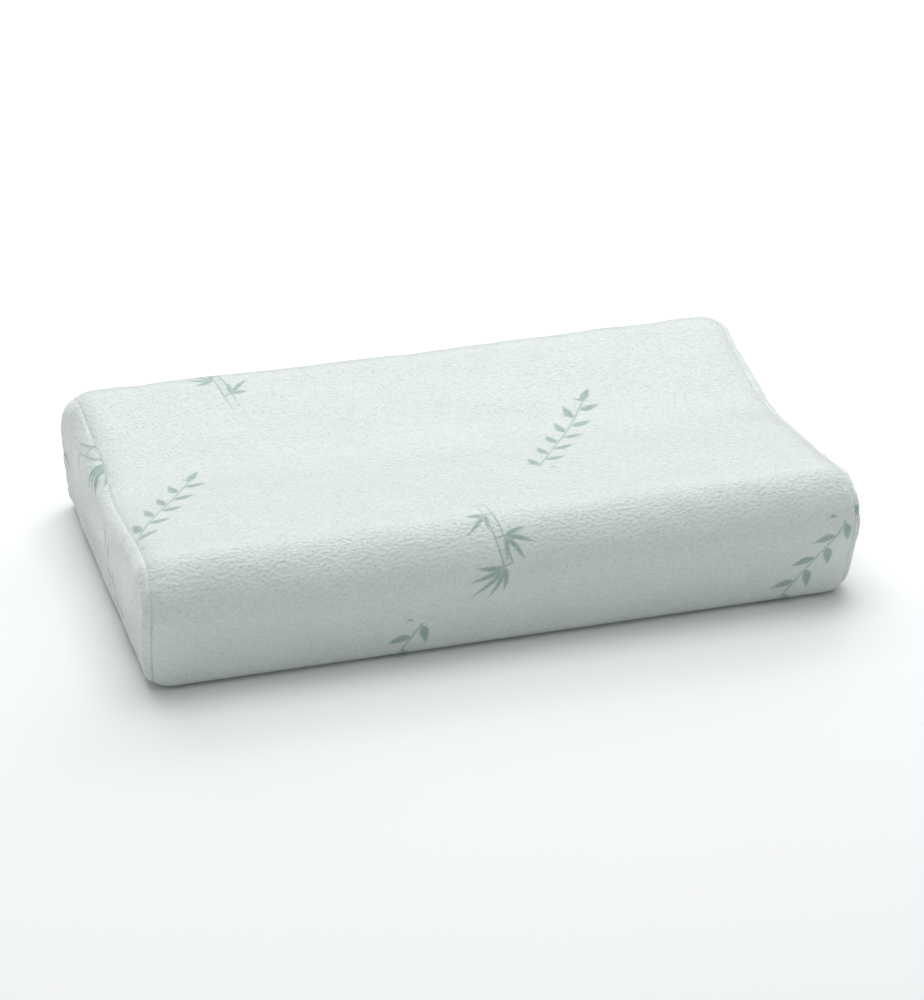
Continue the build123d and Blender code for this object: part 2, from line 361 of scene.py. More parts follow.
@dataclass(frozen=True)
class CaneSprig:
    """A plain cane with a spray of leaves at each joint, on alternate sides, in millimetres and degrees."""

    cane_height: float = 68.0
    cane_lean: float = 10.0  # how far the cane leans left of upright
    cane_width: float = 6.0
    line: float = 0.5  # half the width of a drawn line
    foot: tuple[float, float] = (4.0, -22.0)
    joints: int = 3
    joint_spacing: float = 20.0
    most_leaves: int = 5  # at the lowest joint; each joint above has one fewer
    longest: float = 32.0  # leaf at the lowest joint
    shorter: float = 6.0  # by which each joint's leaves are shorter than those below
    droop: float = 50.0  # angle between a spray and straight down
    cane_depth: float = 0.75  # how strongly the cane is drawn beside the leaves

    def leaves(self) -> list[Leaf]:
        """The leaves of every joint's spray."""
        lean = math.radians(self.cane_lean)
        found = []
        for joint in range(self.joints):
            side = 1 if joint % 2 else -1
            rise = joint * self.joint_spacing
            out = side * self.cane_width / 2
            root = (self.foot[0] - rise * math.sin(lean) + out, self.foot[1] + rise * math.cos(lean))
            longest = self.longest - joint * self.shorter
            found += Spray(root, 270 + side * self.droop, self.most_leaves - joint, longest).leaves()
        return found

    def tree(self, leaf: bpy.types.NodeTree) -> bpy.types.NodeTree:
        """Builds the sprig's shader group.

        Args:
            leaf: The group that measures one leaf.

        Returns:
            A group from a place in millimetres to a depth inside the sprig, and the cane's mask.
        """
        outputs = {"Depth": "Float", "Cane": "Float"}
        tree = new_group("cane_sprig", "ShaderNodeTree", {"Place": "Vector"}, outputs)
        patch = NodePatch(tree)
        place = patch.add("NodeGroupInput").outputs["Place"]
        depth = None
        for item in self.leaves():
            inputs = {
                "Place": place,
                "Base": (*item.base, 0.0),
                "Heading": item.heading,
                "Length": item.length,
                "Width": item.width,
            }
            found = patch.group(leaf, inputs).outputs[0]
            depth = found if depth is None else patch.math("MAXIMUM", depth, found)
        patch.add("NodeGroupOutput", {"Depth": depth, "Cane": self._cane(patch, place)})
        return tree

    def _cane(self, patch: NodePatch, place: Socket) -> Socket:
        """The cane's two long lines and its joints, fading towards the top."""
        out = patch.vector("SUBTRACT", place, (*self.foot, 0.0))
        across, rise, _ = patch.split(patch.turned(out, -math.radians(self.cane_lean)))
        side = patch.math("ABSOLUTE", across)
        half = self.cane_width / 2
        edge = patch.math("ABSOLUTE", patch.math("SUBTRACT", side, half))
        lines = patch.ramp(edge, self.line + 0.45, self.line - 0.1)
        upright = patch.ramp(rise, -1.0, 1.0)
        fading = patch.ramp(rise, self.cane_height, self.cane_height * 0.5)
        within = patch.ramp(side, half + 1.2, half + 0.4)
        mask = patch.math("MAXIMUM", lines, patch.math("MULTIPLY", within, 0.14))
        for joint in range(self.joints):
            height = joint * self.joint_spacing + self.line
            ring = patch.math("ABSOLUTE", patch.math("SUBTRACT", rise, height))
            drawn = patch.math("MULTIPLY", patch.ramp(ring, self.line + 0.6, self.line - 0.1), within)
            mask = patch.math("MAXIMUM", mask, drawn)
        shown = patch.math("MULTIPLY", patch.math("MULTIPLY", mask, upright), fading)
        return patch.math("MULTIPLY", shown, self.cane_depth)


@dataclass(frozen=True)
class LeafGarland:
    """A straight twig with leaves on alternate sides, drawn about its middle, in millimetres."""

    length: float = 108.0
    pitch: float = 10.5
    leaf_length: float = 17.0
    leaf_width: float = 6.8
    leaf_heading: float = 48.0
    stem: float = 0.9

    def tree(self, leaf: bpy.types.NodeTree) -> bpy.types.NodeTree:
        """Builds the garland's shader group.

        Args:
            leaf: The group that measures one leaf.

        Returns:
            A group from a place in millimetres, with the twig along x, to a depth inside the garland.
        """
        tree = new_group("leaf_garland", "ShaderNodeTree", {"Place": "Vector"}, {"Depth": "Float"})
        patch = NodePatch(tree)
        along, across, _ = patch.split(patch.add("NodeGroupInput").outputs["Place"])
        depth = patch.math("SUBTRACT", self.stem, patch.math("ABSOLUTE", across))
        cell = patch.math("FLOOR", patch.math("DIVIDE", along, self.pitch))
        for step in (0.0, 1.0):
            here = patch.math("SUBTRACT", cell, step)
            parity = patch.math("MULTIPLY", patch.math("FRACT", patch.math("MULTIPLY", here, 0.5)), 4.0)
            side = patch.math("SUBTRACT", parity, 1.0)
            start = patch.math("MULTIPLY", here, self.pitch)
            place = patch.join(patch.math("SUBTRACT", along, start), patch.math("MULTIPLY", across, side))
            found = self._leaf(patch, leaf, place, (0.5, 0.4, 0.0), self.leaf_heading)
            depth = patch.math("MAXIMUM", depth, found)
        past = patch.math("SUBTRACT", patch.math("ABSOLUTE", along), self.length / 2)
        body = patch.math("SUBTRACT", depth, patch.math("MULTIPLY", patch.math("MAXIMUM", past, 0.0), 4.0))
        tip = self._leaf(patch, leaf, patch.join(along, across), (self.length / 2 - 1.5, 0.0, 0.0), 0.0)
        patch.add("NodeGroupOutput", {"Depth": patch.math("MAXIMUM", body, tip)})
        return tree

    def _leaf(
        self,
        patch: NodePatch,
        leaf: bpy.types.NodeTree,
        place: Socket,
        base: tuple[float, ...],
        heading: float,
    ) -> Socket:
        """One of the garland's leaves; returns the depth inside it."""
        sizes = {"Heading": math.radians(heading), "Length": self.leaf_length, "Width": self.leaf_width}
        return patch.group(leaf, {"Place": place, "Base": base, **sizes}).outputs[0]


@dataclass(frozen=True)
class PatternRepeat:
    """How the sprigs and garlands repeat over the cloth, in millimetres and degrees."""

    name: str = "leaf_pattern"
    across: float = 297.0  # from one motif to the next in a row
    rows: float = 249.0  # from one row to the next; every other row is turned half round
    odd_rise: float = 26.0  # how far the odd rows stand above the middle between the even ones
    row_shift: float = -134.0  # sideways step from an even row to the odd row above it
    garland: tuple[float, float] = (86.0, 135.0)  # from a sprig to its garland
    garland_shift: float = 126.0
    garland_heading: float = 54.0
    skew: float = 0.13  # rise of the rows along the cloth
    edge: float = 0.55  # depth at which the green yarn is full
    halo: float = 1.9  # reach of the float threads round the green yarn
    halo_depth: float = 0.3

    def local(self, patch: NodePatch, place: Socket, origin: tuple[float, float], shift: float) -> Socket:
        """The place about the nearest motif of a lattice.

        Args:
            patch: Where to add the nodes.
            place: Place on the cloth, in millimetres.
            origin: The middle of one upright motif.
            shift: Sideways step of the odd rows.

        Returns:
            The place from that motif's middle, turned half round in the odd rows.
        """
        x, y, _ = patch.split(patch.vector("SUBTRACT", place, (*origin, 0.0)))
        y = patch.math("SUBTRACT", y, patch.math("MULTIPLY", x, self.skew))
        row = patch.math("ROUND", patch.math("DIVIDE", y, self.rows))
        odd = patch.math("MULTIPLY", patch.math("FRACT", patch.math("MULTIPLY", row, 0.5)), 2.0)
        x = patch.math("SUBTRACT", x, patch.math("MULTIPLY", odd, shift))
        column = patch.math("ROUND", patch.math("DIVIDE", x, self.across))
        x = patch.math("SUBTRACT", x, patch.math("MULTIPLY", column, self.across))
        y = patch.math("SUBTRACT", y, patch.math("MULTIPLY", row, self.rows))
        y = patch.math("SUBTRACT", y, patch.math("MULTIPLY", odd, self.odd_rise))
        turn = patch.math("SUBTRACT", 1.0, patch.math("MULTIPLY", odd, 2.0))
        return patch.join(patch.math("MULTIPLY", x, turn), patch.math("MULTIPLY", y, turn))

    def tree(self, sprig: bpy.types.NodeTree, garland: bpy.types.NodeTree) -> bpy.types.NodeTree:
        """Builds the whole pattern's group.

        Args:
            sprig: The group that draws one sprig.
            garland: The group that draws one garland.

        Returns:
            A group from a place in millimetres, counted from one sprig's middle, to the masks of the green
            yarn and of the pale green float threads round it.
        """
        tree = new_group(self.name, "ShaderNodeTree", {"Place": "Vector"}, {"Mask": "Float", "Halo": "Float"})
        patch = NodePatch(tree)
        place = patch.add("NodeGroupInput").outputs["Place"]
        fray = patch.add("ShaderNodeTexNoise", {"Vector": place, "Scale": 0.9, "Detail": 1.0}).outputs[1]
        frayed = patch.vector("ADD", place, patch.vector("SUBTRACT", fray, (0.5, 0.5, 0.5)))
        first = patch.group(sprig, {"Place": self.local(patch, frayed, (0.0, 0.0), self.row_shift)}).outputs
        about = self.local(patch, frayed, self.garland, self.garland_shift)
        turned = patch.turned(about, -math.radians(self.garland_heading))
        second = patch.group(garland, {"Place": turned}).outputs[0]
        depth = patch.math("MAXIMUM", first["Depth"], second)
        heart = patch.math("MULTIPLY_ADD", patch.ramp(depth, self.edge, 1.6), 0.3, 0.7)
        leaves = patch.math("MULTIPLY", patch.ramp(depth, -0.2, self.edge), heart)
        core = patch.math("MAXIMUM", leaves, first["Cane"])
        halo = patch.math("MULTIPLY", patch.ramp(depth, -self.halo, 0.0), self.halo_depth)
        patch.add("NodeGroupOutput", {"Mask": core, "Halo": halo})
        return tree


# ---- Finishes --------------------------------------------------------------------------------------------
def new_material(name: str) -> tuple[bpy.types.Material, NodePatch, bpy.types.Node]:
    """An empty node material; returns it, its patch and its shader."""
    material = bpy.data.materials.new(name)
    material.use_nodes = True
    patch = NodePatch(material.node_tree)
    return material, patch, material.node_tree.nodes["Principled BSDF"]


@dataclass(frozen=True)
class KnitFinish:
    """Pitted jacquard knit: white, with green yarn where the pattern is, and shade painted into its pits and
    crinkle hollows.
    """

    name: str = "cover_knit"
    white: tuple[float, float, float] = (0.785, 0.838, 0.825)
    # pit: the grey of the painted shade in the pits and crinkle hollows, and the far end of the random
    # blotches
    pit: tuple[float, float, float] = (0.56, 0.62, 0.60)
    green: tuple[float, float, float] = (0.29, 0.44, 0.355)
    pale_green: tuple[float, float, float] = (0.60, 0.74, 0.67)
    pitch: tuple[float, float] = (2.1, 1.8)  # from one tucked stitch's pit to the next, in millimetres
    pit_size: float = 0.45  # radius of a pit, as a share of the pitch
    crinkle: tuple[float, float] = (3.0, 2.2)  # size of the soft crinkles between them, in millimetres
    relief: float = 0.75  # depth of the knit, in millimetres
    loop: tuple[float, float] = (1.0, 0.75)  # size of one knitted loop, in millimetres
    anchor: tuple[float, float] = (-8.0, 410.0)  # where one sprig lies on this panel, in millimetres
    heading: float = 0.0  # how far this panel was turned when it was cut, in degrees

    def material(self, knit: bpy.types.NodeTree, pattern: bpy.types.NodeTree) -> bpy.types.Material:
        """Builds the finish.

        Args:
            knit: The group that gives the knit's height and the painted shade of its pits and hollows.
            pattern: The group that gives the green yarn's mask.

        Returns:
            The material, which reads the piece's own map of the cloth.
        """
        material, patch, shader = new_material(self.name)
        place = patch.add("ShaderNodeUVMap", uv_map=CLOTH_UV).outputs[0]
        in_mm = patch.vector("MULTIPLY", place, (1 / MM, 1 / MM, 0.0))
        cloth = patch.vector("SUBTRACT", in_mm, (UV_MARGIN / MM, UV_MARGIN / MM, 0.0))
        knitted = patch.group(knit, {"Place": cloth}).outputs
        moved = patch.vector("SUBTRACT", cloth, (*self.anchor, 0.0))
        turned = patch.turned(moved, -math.radians(self.heading))
        drawn = patch.group(pattern, {"Place": turned}).outputs
        showing = patch.math("MULTIPLY_ADD", knitted["Height"], 0.4, 0.6)
        yarn = patch.math("MULTIPLY", drawn["Mask"], showing, clamp=True)
        blotch = patch.ramp(patch.noise(cloth, 0.02, 3.0), 0.3, 0.7)
        white = patch.mix_colour(patch.math("MULTIPLY", blotch, 0.06), (*self.white, 1.0), (*self.pit, 1.0))
        # painted shade: the pits and crinkle hollows are darkened towards the pit grey
        ground = patch.mix_colour(knitted["Pit"], white, (*self.pit, 1.0))
        floats = patch.mix_colour(drawn["Halo"], ground, (*self.pale_green, 1.0))
        patch.feed(shader.inputs["Base Color"], patch.mix_colour(yarn, floats, (*self.green, 1.0)))
        bump = {"Height": knitted["Height"], "Distance": self.relief * MM, "Strength": 1.0}
        patch.feed(shader.inputs["Normal"], patch.add("ShaderNodeBump", bump).outputs[0])
        shader.inputs["Roughness"].default_value = 0.6
        shader.inputs["Specular IOR Level"].default_value = 0.5
        shader.inputs["Sheen Weight"].default_value = 1.0
        shader.inputs["Sheen Roughness"].default_value = 0.4
        return material

    def knit_tree(self) -> bpy.types.NodeTree:
        """Builds the knit's group, from a place in millimetres to its height and the painted shade of its
        pits and crinkle hollows, each 0 to 1.
        """
        outputs = {"Height": "Float", "Pit": "Float"}
        tree = new_group("pitted_knit", "ShaderNodeTree", {"Place": "Vector"}, outputs)
        patch = NodePatch(tree)
        place = patch.add("NodeGroupInput").outputs["Place"]
        sway = patch.add("ShaderNodeTexNoise", {"Vector": place, "Scale": 0.22, "Detail": 1.0}).outputs[1]
        swayed = patch.vector("ADD", place, patch.vector("MULTIPLY", sway, (2.2, 1.6, 0.0)))
        spaced = patch.vector("MULTIPLY", swayed, (1 / self.pitch[0], 1 / self.pitch[1], 0.0))
        tucks = patch.add(
            "ShaderNodeTexVoronoi", {"Vector": spaced, "Scale": 1.0, "Randomness": 0.8}, feature="F1"
        ).outputs
        chance, _, _ = patch.split(tucks["Color"])
        depth = patch.math("MULTIPLY_ADD", chance, 0.75, 0.25)
        pit = patch.math("MULTIPLY", patch.ramp(tucks["Distance"], self.pit_size, 0.05), depth)
        stretched = patch.vector("MULTIPLY", swayed, (1 / self.crinkle[0], 1 / self.crinkle[1], 0.0))
        crinkle = patch.ramp(patch.noise(stretched, 1.0, 0.5, 0.4), 0.28, 0.72)
        x, y, _ = patch.split(place)
        wale = patch.math("ABSOLUTE", patch.math("SINE", patch.math("MULTIPLY", x, math.pi / self.loop[0])))
        course = patch.math("ABSOLUTE", patch.math("SINE", patch.math("MULTIPLY", y, math.pi / self.loop[1])))
        loops = patch.math("MULTIPLY", patch.math("MULTIPLY", wale, course), 0.13)
        soft = patch.math("MULTIPLY_ADD", crinkle, 0.42, loops)
        height = patch.math("MULTIPLY_ADD", patch.math("SUBTRACT", 1.0, pit), 0.34, soft)
        # painted shade: darker in the crinkles' hollows and in the pits
        hollow = patch.math("MULTIPLY", patch.ramp(crinkle, 0.45, 0.0), 0.22)
        tone = patch.math("MAXIMUM", patch.math("MULTIPLY", pit, 0.95), hollow)
        patch.add("NodeGroupOutput", {"Height": height, "Pit": tone})
        return tree


@dataclass(frozen=True)
class FoamFinish:
    """Cream slow-recovery foam with fine open cells, with shade painted into the cells."""

    name: str = "pillow_foam"
    cream: tuple[float, float, float] = (0.86, 0.79, 0.60)
    shade: tuple[float, float, float] = (0.74, 0.65, 0.45)

    def material(self) -> bpy.types.Material:
        """Builds the finish on the piece's own coordinates."""
        material, patch, shader = new_material(self.name)
        place = patch.vector("MULTIPLY", patch.add("ShaderNodeTexCoord").outputs["Object"], (1 / MM,) * 3)
        cells = patch.add("ShaderNodeTexVoronoi", {"Vector": place, "Scale": 0.9}).outputs["Distance"]
        blotch = patch.ramp(patch.noise(place, 0.05, 3.0), 0.35, 0.65)
        # painted shade: darker towards the middle of each open pore, plus random blotches
        pores = patch.ramp(cells, 0.15, 0.45)
        tone = patch.math("MULTIPLY", patch.math("SUBTRACT", 1.0, pores), 0.6)
        depth = patch.math("ADD", tone, patch.math("MULTIPLY", blotch, 0.25), clamp=True)
        colour = patch.mix_colour(depth, (*self.cream, 1.0), (*self.shade, 1.0))
        patch.feed(shader.inputs["Base Color"], colour)
        bump = {"Height": pores, "Distance": 0.25 * MM}
        patch.feed(shader.inputs["Normal"], patch.add("ShaderNodeBump", bump).outputs[0])
        shader.inputs["Roughness"].default_value = 0.95
        shader.inputs["Specular IOR Level"].default_value = 0.15
        return material


@dataclass(frozen=True)
class ClothFinish:
    """A plain thin cloth or ribbon of two crossing thread directions, with shade painted between the threads.
    """

    name: str
    light: tuple[float, float, float]
    # dark: the colour of the painted shade between the threads and of the random unevenness
    dark: tuple[float, float, float]
    thread: tuple[float, float]  # thread spacing along and across, in millimetres
    relief: float  # in millimetres
    roughness: float
    diagonal: float = 0.0  # how far each row steps sideways, which makes a twill or herringbone
    sheen: float = 0.2
    anisotropic: float = 0.0

    def material(self) -> bpy.types.Material:
        """Builds the finish on the piece's own map of the cloth."""
        material, patch, shader = new_material(self.name)
        mapped = patch.add("ShaderNodeUVMap", uv_map=CLOTH_UV).outputs[0]
        place = patch.vector("MULTIPLY", mapped, (1 / MM, 1 / MM, 0))
        x, y, _ = patch.split(place)
        fold = patch.math("PINGPONG", y, 3.0)
        slanted = patch.math("MULTIPLY_ADD", fold, self.diagonal, x)
        turn = patch.math("MULTIPLY", slanted, math.pi / self.thread[0])
        warp = patch.math("ABSOLUTE", patch.math("SINE", turn))
        weft = patch.math("ABSOLUTE", patch.math("SINE", patch.math("MULTIPLY", y, math.pi / self.thread[1])))
        height = patch.math("MULTIPLY_ADD", weft, 0.4, patch.math("MULTIPLY", warp, 0.6))
        uneven = patch.ramp(patch.noise(place, 0.3, 3.0), 0.25, 0.75)
        # painted shade between the threads, plus random unevenness
        tone = patch.math("MULTIPLY", patch.math("SUBTRACT", 1.0, height), 0.7)
        worn = patch.math("MULTIPLY_ADD", uneven, 0.25, tone, clamp=True)
        patch.feed(shader.inputs["Base Color"], patch.mix_colour(worn, (*self.light, 1.0), (*self.dark, 1.0)))
        bump = {"Height": height, "Distance": self.relief * MM}
        patch.feed(shader.inputs["Normal"], patch.add("ShaderNodeBump", bump).outputs[0])
        shader.inputs["Roughness"].default_value = self.roughness
        shader.inputs["Sheen Weight"].default_value = self.sheen
        shader.inputs["Anisotropic"].default_value = self.anisotropic
        return material


@dataclass(frozen=True)
class StrandFinish:
    """Twisted sewing thread, or a smooth nylon strand where the twist is slight, with shade painted into the
    twist's grooves.
    """

    name: str
    light: tuple[float, float, float]
    dark: tuple[float, float, float]
    twist: float  # spacing of the twist's ridges, in millimetres
    relief: float  # in millimetres
    roughness: float

    def material(self) -> bpy.types.Material:
        """Builds the finish on the piece's own coordinates."""
        material, patch, shader = new_material(self.name)
        place = patch.vector("MULTIPLY", patch.add("ShaderNodeTexCoord").outputs["Object"], (1 / MM,) * 3)
        x, y, z = patch.split(place)
        run = patch.math("ADD", patch.math("ADD", x, y), z)
        ridge = patch.math("ABSOLUTE", patch.math("SINE", patch.math("MULTIPLY", run, math.pi / self.twist)))
        uneven = patch.ramp(patch.noise(place, 0.8, 2.0), 0.3, 0.7)
        blotchy = patch.math("MULTIPLY", uneven, 0.3)
        # painted shade in the twist's grooves, plus random blotches
        tone = patch.math("MULTIPLY_ADD", patch.math("SUBTRACT", 1.0, ridge), 0.6, blotchy)
        patch.feed(shader.inputs["Base Color"], patch.mix_colour(tone, (*self.light, 1.0), (*self.dark, 1.0)))
        bump = {"Height": ridge, "Distance": self.relief * MM}
        patch.feed(shader.inputs["Normal"], patch.add("ShaderNodeBump", bump).outputs[0])
        patch.feed(shader.inputs["Roughness"], patch.math("MULTIPLY_ADD", uneven, 0.1, self.roughness))
        return material


@dataclass(frozen=True)
class EnamelFinish:
    """White enamel on cast metal, rubbed through a little on its corners."""

    name: str = "slider_enamel"
    enamel: tuple[float, float, float] = (0.80, 0.81, 0.79)
    metal: tuple[float, float, float] = (0.52, 0.53, 0.54)

    def material(self) -> bpy.types.Material:
        """Builds the finish on the piece's own coordinates."""
        material, patch, shader = new_material(self.name)
        place = patch.vector("MULTIPLY", patch.add("ShaderNodeTexCoord").outputs["Object"], (1 / MM,) * 3)
        edges = patch.ramp(patch.add("ShaderNodeNewGeometry").outputs["Pointiness"], 0.55, 0.66)
        scuffs = patch.ramp(patch.noise(place, 0.9, 4.0, 0.6), 0.62, 0.80)
        worn = patch.math("MULTIPLY", edges, scuffs, clamp=True)
        ripple = patch.noise(place, 0.7, 2.0)
        faint = patch.math("MULTIPLY", ripple, 0.12)
        milky = patch.mix_colour(faint, (*self.enamel, 1.0), (*self.metal, 1.0))
        patch.feed(shader.inputs["Base Color"], patch.mix_colour(worn, milky, (*self.metal, 1.0)))
        patch.feed(shader.inputs["Metallic"], worn)
        patch.feed(shader.inputs["Roughness"], patch.math("MULTIPLY_ADD", scuffs, 0.12, 0.27))
        bump = {"Height": ripple, "Distance": 0.05 * MM}
        patch.feed(shader.inputs["Normal"], patch.add("ShaderNodeBump", bump).outputs[0])
        shader.inputs["Coat Weight"].default_value = 0.3
        shader.inputs["Coat Roughness"].default_value = 0.15
        return material


class Wardrobe:
    """Every finish of the pillow, made once."""

    def __init__(self) -> None:
        """Builds the finishes."""
        knit = KnitFinish()
        knit_tree, leaf = knit.knit_tree(), LeafShape().tree()
        sprig, garland = CaneSprig().tree(leaf), LeafGarland().tree(leaf)
        pattern = PatternRepeat().tree(sprig, garland)
        self.cover = knit.material(knit_tree, pattern)
        end_repeat = PatternRepeat(
            "leaf_pattern_end", 600.0, 500.0, garland=(-73.0, -125.0), garland_heading=41.0
        )
        on_end = end_repeat.tree(sprig, garland)
        left = KnitFinish(name="cover_knit_left_end", anchor=(-66.0, 80.0), heading=93.0)
        right = KnitFinish(name="cover_knit_right_end", anchor=(-70.0, 30.0), heading=-98.0)
        self.cover_ends = {
            End.LEFT: left.material(knit_tree, on_end),
            End.RIGHT: right.material(knit_tree, on_end),
        }
        self.foam = FoamFinish().material()
        white, grey = (0.84, 0.85, 0.84), (0.62, 0.63, 0.62)
        self.liner = ClothFinish("liner_knit", white, grey, (0.8, 0.6), 0.12, 0.9).material()
        pale = (0.74, 0.75, 0.74)
        self.webbing = ClothFinish("zip_webbing", white, pale, (0.9, 0.5), 0.15, 0.8, diagonal=0.8).material()
        self.satin = ClothFinish(
            "label_satin",
            (0.86, 0.86, 0.85),
            (0.70, 0.70, 0.70),
            (0.5, 0.22),
            0.05,
            0.42,
            sheen=0.4,
            anisotropic=0.4,
        ).material()
        thread = StrandFinish("sewing_thread", (0.87, 0.88, 0.87), (0.70, 0.72, 0.71), 0.28, 0.05, 0.6)
        self.thread = thread.material()
        nylon = StrandFinish("zip_nylon", (0.84, 0.85, 0.83), (0.70, 0.71, 0.70), 1.9, 0.02, 0.36)
        self.nylon = nylon.material()
        self.enamel = EnamelFinish().material()


# ---- Repeated pieces, by Geometry Nodes ------------------------------------------------------------------
class Repeat(Enum):
    """What a row repeats along its path."""

    STITCH = "stitch"
    COIL_TURN = "coil_turn"


@dataclass(frozen=True)
class RowOfItems:
    """A row of equal items laid along a path at an even pitch. All sizes are in metres."""

    item: Repeat
    pitch: float
    length: float  # of a stitch along the row, or a coil turn's width across it
    rise: float  # how far an item arches, or a coil turn's thickness
    radius: float  # of the thread or strand
    turn: float = 0.0  # how far each item is turned out of the row's line, in radians

    def tree(self) -> bpy.types.NodeTree:
        """Builds the row's Geometry Nodes, with its sizes as named inputs."""
        sizes = {"Pitch": "Float", "Length": "Float", "Rise": "Float", "Radius": "Float", "Turn": "Float"}
        inputs = {"Geometry": "Geometry", **sizes, "Material": "Material"}
        tree = new_group(f"row_of_{self.item.value}", "GeometryNodeTree", inputs, {"Geometry": "Geometry"})
        patch = NodePatch(tree)
        given = patch.add("NodeGroupInput").outputs
        path = patch.add("GeometryNodeMeshToCurve", {"Mesh": given["Geometry"]}).outputs[0]
        lengths = {"Curve": path, "Length": given["Pitch"]}
        spaced = patch.add("GeometryNodeResampleCurve", lengths, mode="LENGTH")
        tangent = patch.add("GeometryNodeInputTangent").outputs[0]
        up = patch.add("GeometryNodeInputNamedAttribute", {"Name": UP_ATTRIBUTE}, data_type="FLOAT_VECTOR")
        turned = patch.add(
            "ShaderNodeVectorRotate",
            {"Vector": tangent, "Axis": up.outputs["Attribute"], "Angle": given["Turn"]},
            rotation_type="AXIS_ANGLE",
        )
        facing = patch.add(
            "FunctionNodeAxesToRotation",
            {"Primary Axis": up.outputs["Attribute"], "Secondary Axis": turned.outputs[0]},
            primary_axis="Z",
            secondary_axis="X",
        )
        shape = self._stitch(patch, given) if self.item is Repeat.STITCH else self._coil_turn(patch, given)
        smooth = patch.add("GeometryNodeSetShadeSmooth", {"Geometry": shape}).outputs[0]
        inputs = {"Points": spaced.outputs[0], "Instance": smooth, "Rotation": facing.outputs[0]}
        laid = patch.add("GeometryNodeInstanceOnPoints", inputs)
        real = patch.add("GeometryNodeRealizeInstances", {"Geometry": laid.outputs[0]})
        dressed = patch.add(
            "GeometryNodeSetMaterial", {"Geometry": real.outputs[0], "Material": given["Material"]}
        )
        patch.add("NodeGroupOutput", {"Geometry": dressed.outputs[0]})
        return tree

    @staticmethod
    def _stitch(patch: NodePatch, given: bpy.types.NodeOutputs) -> Socket:
        """One stitch: a short arched thread whose ends dive into the cloth."""
        half = patch.math("MULTIPLY", given["Length"], 0.5)
        low = patch.math("MULTIPLY", given["Radius"], -1.2)
        inputs = {
            "Resolution": 5,
            "Start": patch.join(patch.math("MULTIPLY", half, -1.0), 0.0, low),
            "Middle": patch.join(0.0, 0.0, patch.math("MULTIPLY", given["Rise"], 2.0)),
            "End": patch.join(half, 0.0, low),
        }
        arch = patch.add("GeometryNodeCurveQuadraticBezier", inputs).outputs[0]
        round_section = {"Resolution": 6, "Radius": given["Radius"]}
        ring = patch.add("GeometryNodeCurvePrimitiveCircle", round_section).outputs[0]
        inputs = {"Curve": arch, "Profile Curve": ring, "Fill Caps": True}
        return patch.add("GeometryNodeCurveToMesh", inputs).outputs[0]

    @staticmethod
    def _coil_turn(patch: NodePatch, given: bpy.types.NodeOutputs) -> Socket:
        """One turn of a coil: a flat loop of strand that stands across the row."""
        loop = patch.add("GeometryNodeCurvePrimitiveCircle", {"Resolution": 12, "Radius": 0.5}).outputs[0]
        width = patch.math("SUBTRACT", given["Length"], patch.math("MULTIPLY", given["Radius"], 2.0))
        height = patch.math("SUBTRACT", given["Rise"], patch.math("MULTIPLY", given["Radius"], 2.0))
        inputs = {"Geometry": loop, "Rotation": (math.pi / 2, 0.0, math.pi / 2), "Scale": (1.0, 1.0, 1.0)}
        stood = patch.add("GeometryNodeTransform", inputs).outputs[0]
        scale = patch.join(1.0, width, height)
        sized = patch.add("GeometryNodeTransform", {"Geometry": stood, "Scale": scale})
        round_section = {"Resolution": 6, "Radius": given["Radius"]}
        ring = patch.add("GeometryNodeCurvePrimitiveCircle", round_section).outputs[0]
        inputs = {"Curve": sized.outputs[0], "Profile Curve": ring}
        return patch.add("GeometryNodeCurveToMesh", inputs).outputs[0]

    def lay(
        self, name: str, path: np.ndarray, up: np.ndarray, material: bpy.types.Material, closed: bool = False
    ) -> bpy.types.Mesh:
        """Lays the row along a path and returns it as a plain mesh.

        Args:
            name: The mesh's name.
            path: Points of the path, in metres.
            up: The cloth's outward direction at each point.
            material: The items' finish.
            closed: Whether the path returns to its start.

        Returns:
            The row's mesh.
        """
        count = len(path)
        edges = [(i, (i + 1) % count) for i in range(count if closed else count - 1)]
        line = bpy.data.meshes.new(f"{name}_path")
        line.from_pydata(path.tolist(), edges, [])
        line.attributes.new(UP_ATTRIBUTE, "FLOAT_VECTOR", "POINT").data.foreach_set(
            "vector", up.astype(np.float32).ravel()
        )
        holder = bpy.data.objects.new(f"{name}_path", line)
        bpy.context.scene.collection.objects.link(holder)
        tree = self.tree()
        modifier = holder.modifiers.new("row", "NODES")
        modifier.node_group = tree
        sizes = {"Pitch": self.pitch, "Length": self.length, "Rise": self.rise, "Radius": self.radius}
        values = {**sizes, "Turn": self.turn, "Material": material}
        for socket in tree.interface.items_tree:
            if socket.in_out == "INPUT" and socket.name in values:
                modifier[socket.identifier] = values[socket.name]
        shapes = bpy.context.evaluated_depsgraph_get()
        made = bpy.data.meshes.new_from_object(holder.evaluated_get(shapes), depsgraph=shapes)
        made.name = name
        bpy.data.objects.remove(holder)
        bpy.data.meshes.remove(line)
        return made


def joined(name: str, meshes: list[bpy.types.Mesh], material: bpy.types.Material) -> bpy.types.Object:
    """Joins meshes into one object with one material."""
    points, faces, smooth = [], [], []
    for mesh in meshes:
        base = len(points)
        points.extend(v.co[:] for v in mesh.vertices)
        faces.extend([base + i for i in face.vertices] for face in mesh.polygons)
        smooth.extend(face.use_smooth for face in mesh.polygons)
    whole = bpy.data.meshes.new(name)
    whole.from_pydata(points, [], faces)
    piece = new_object(name, whole, material)
    whole.polygons.foreach_set("use_smooth", smooth)
    return piece


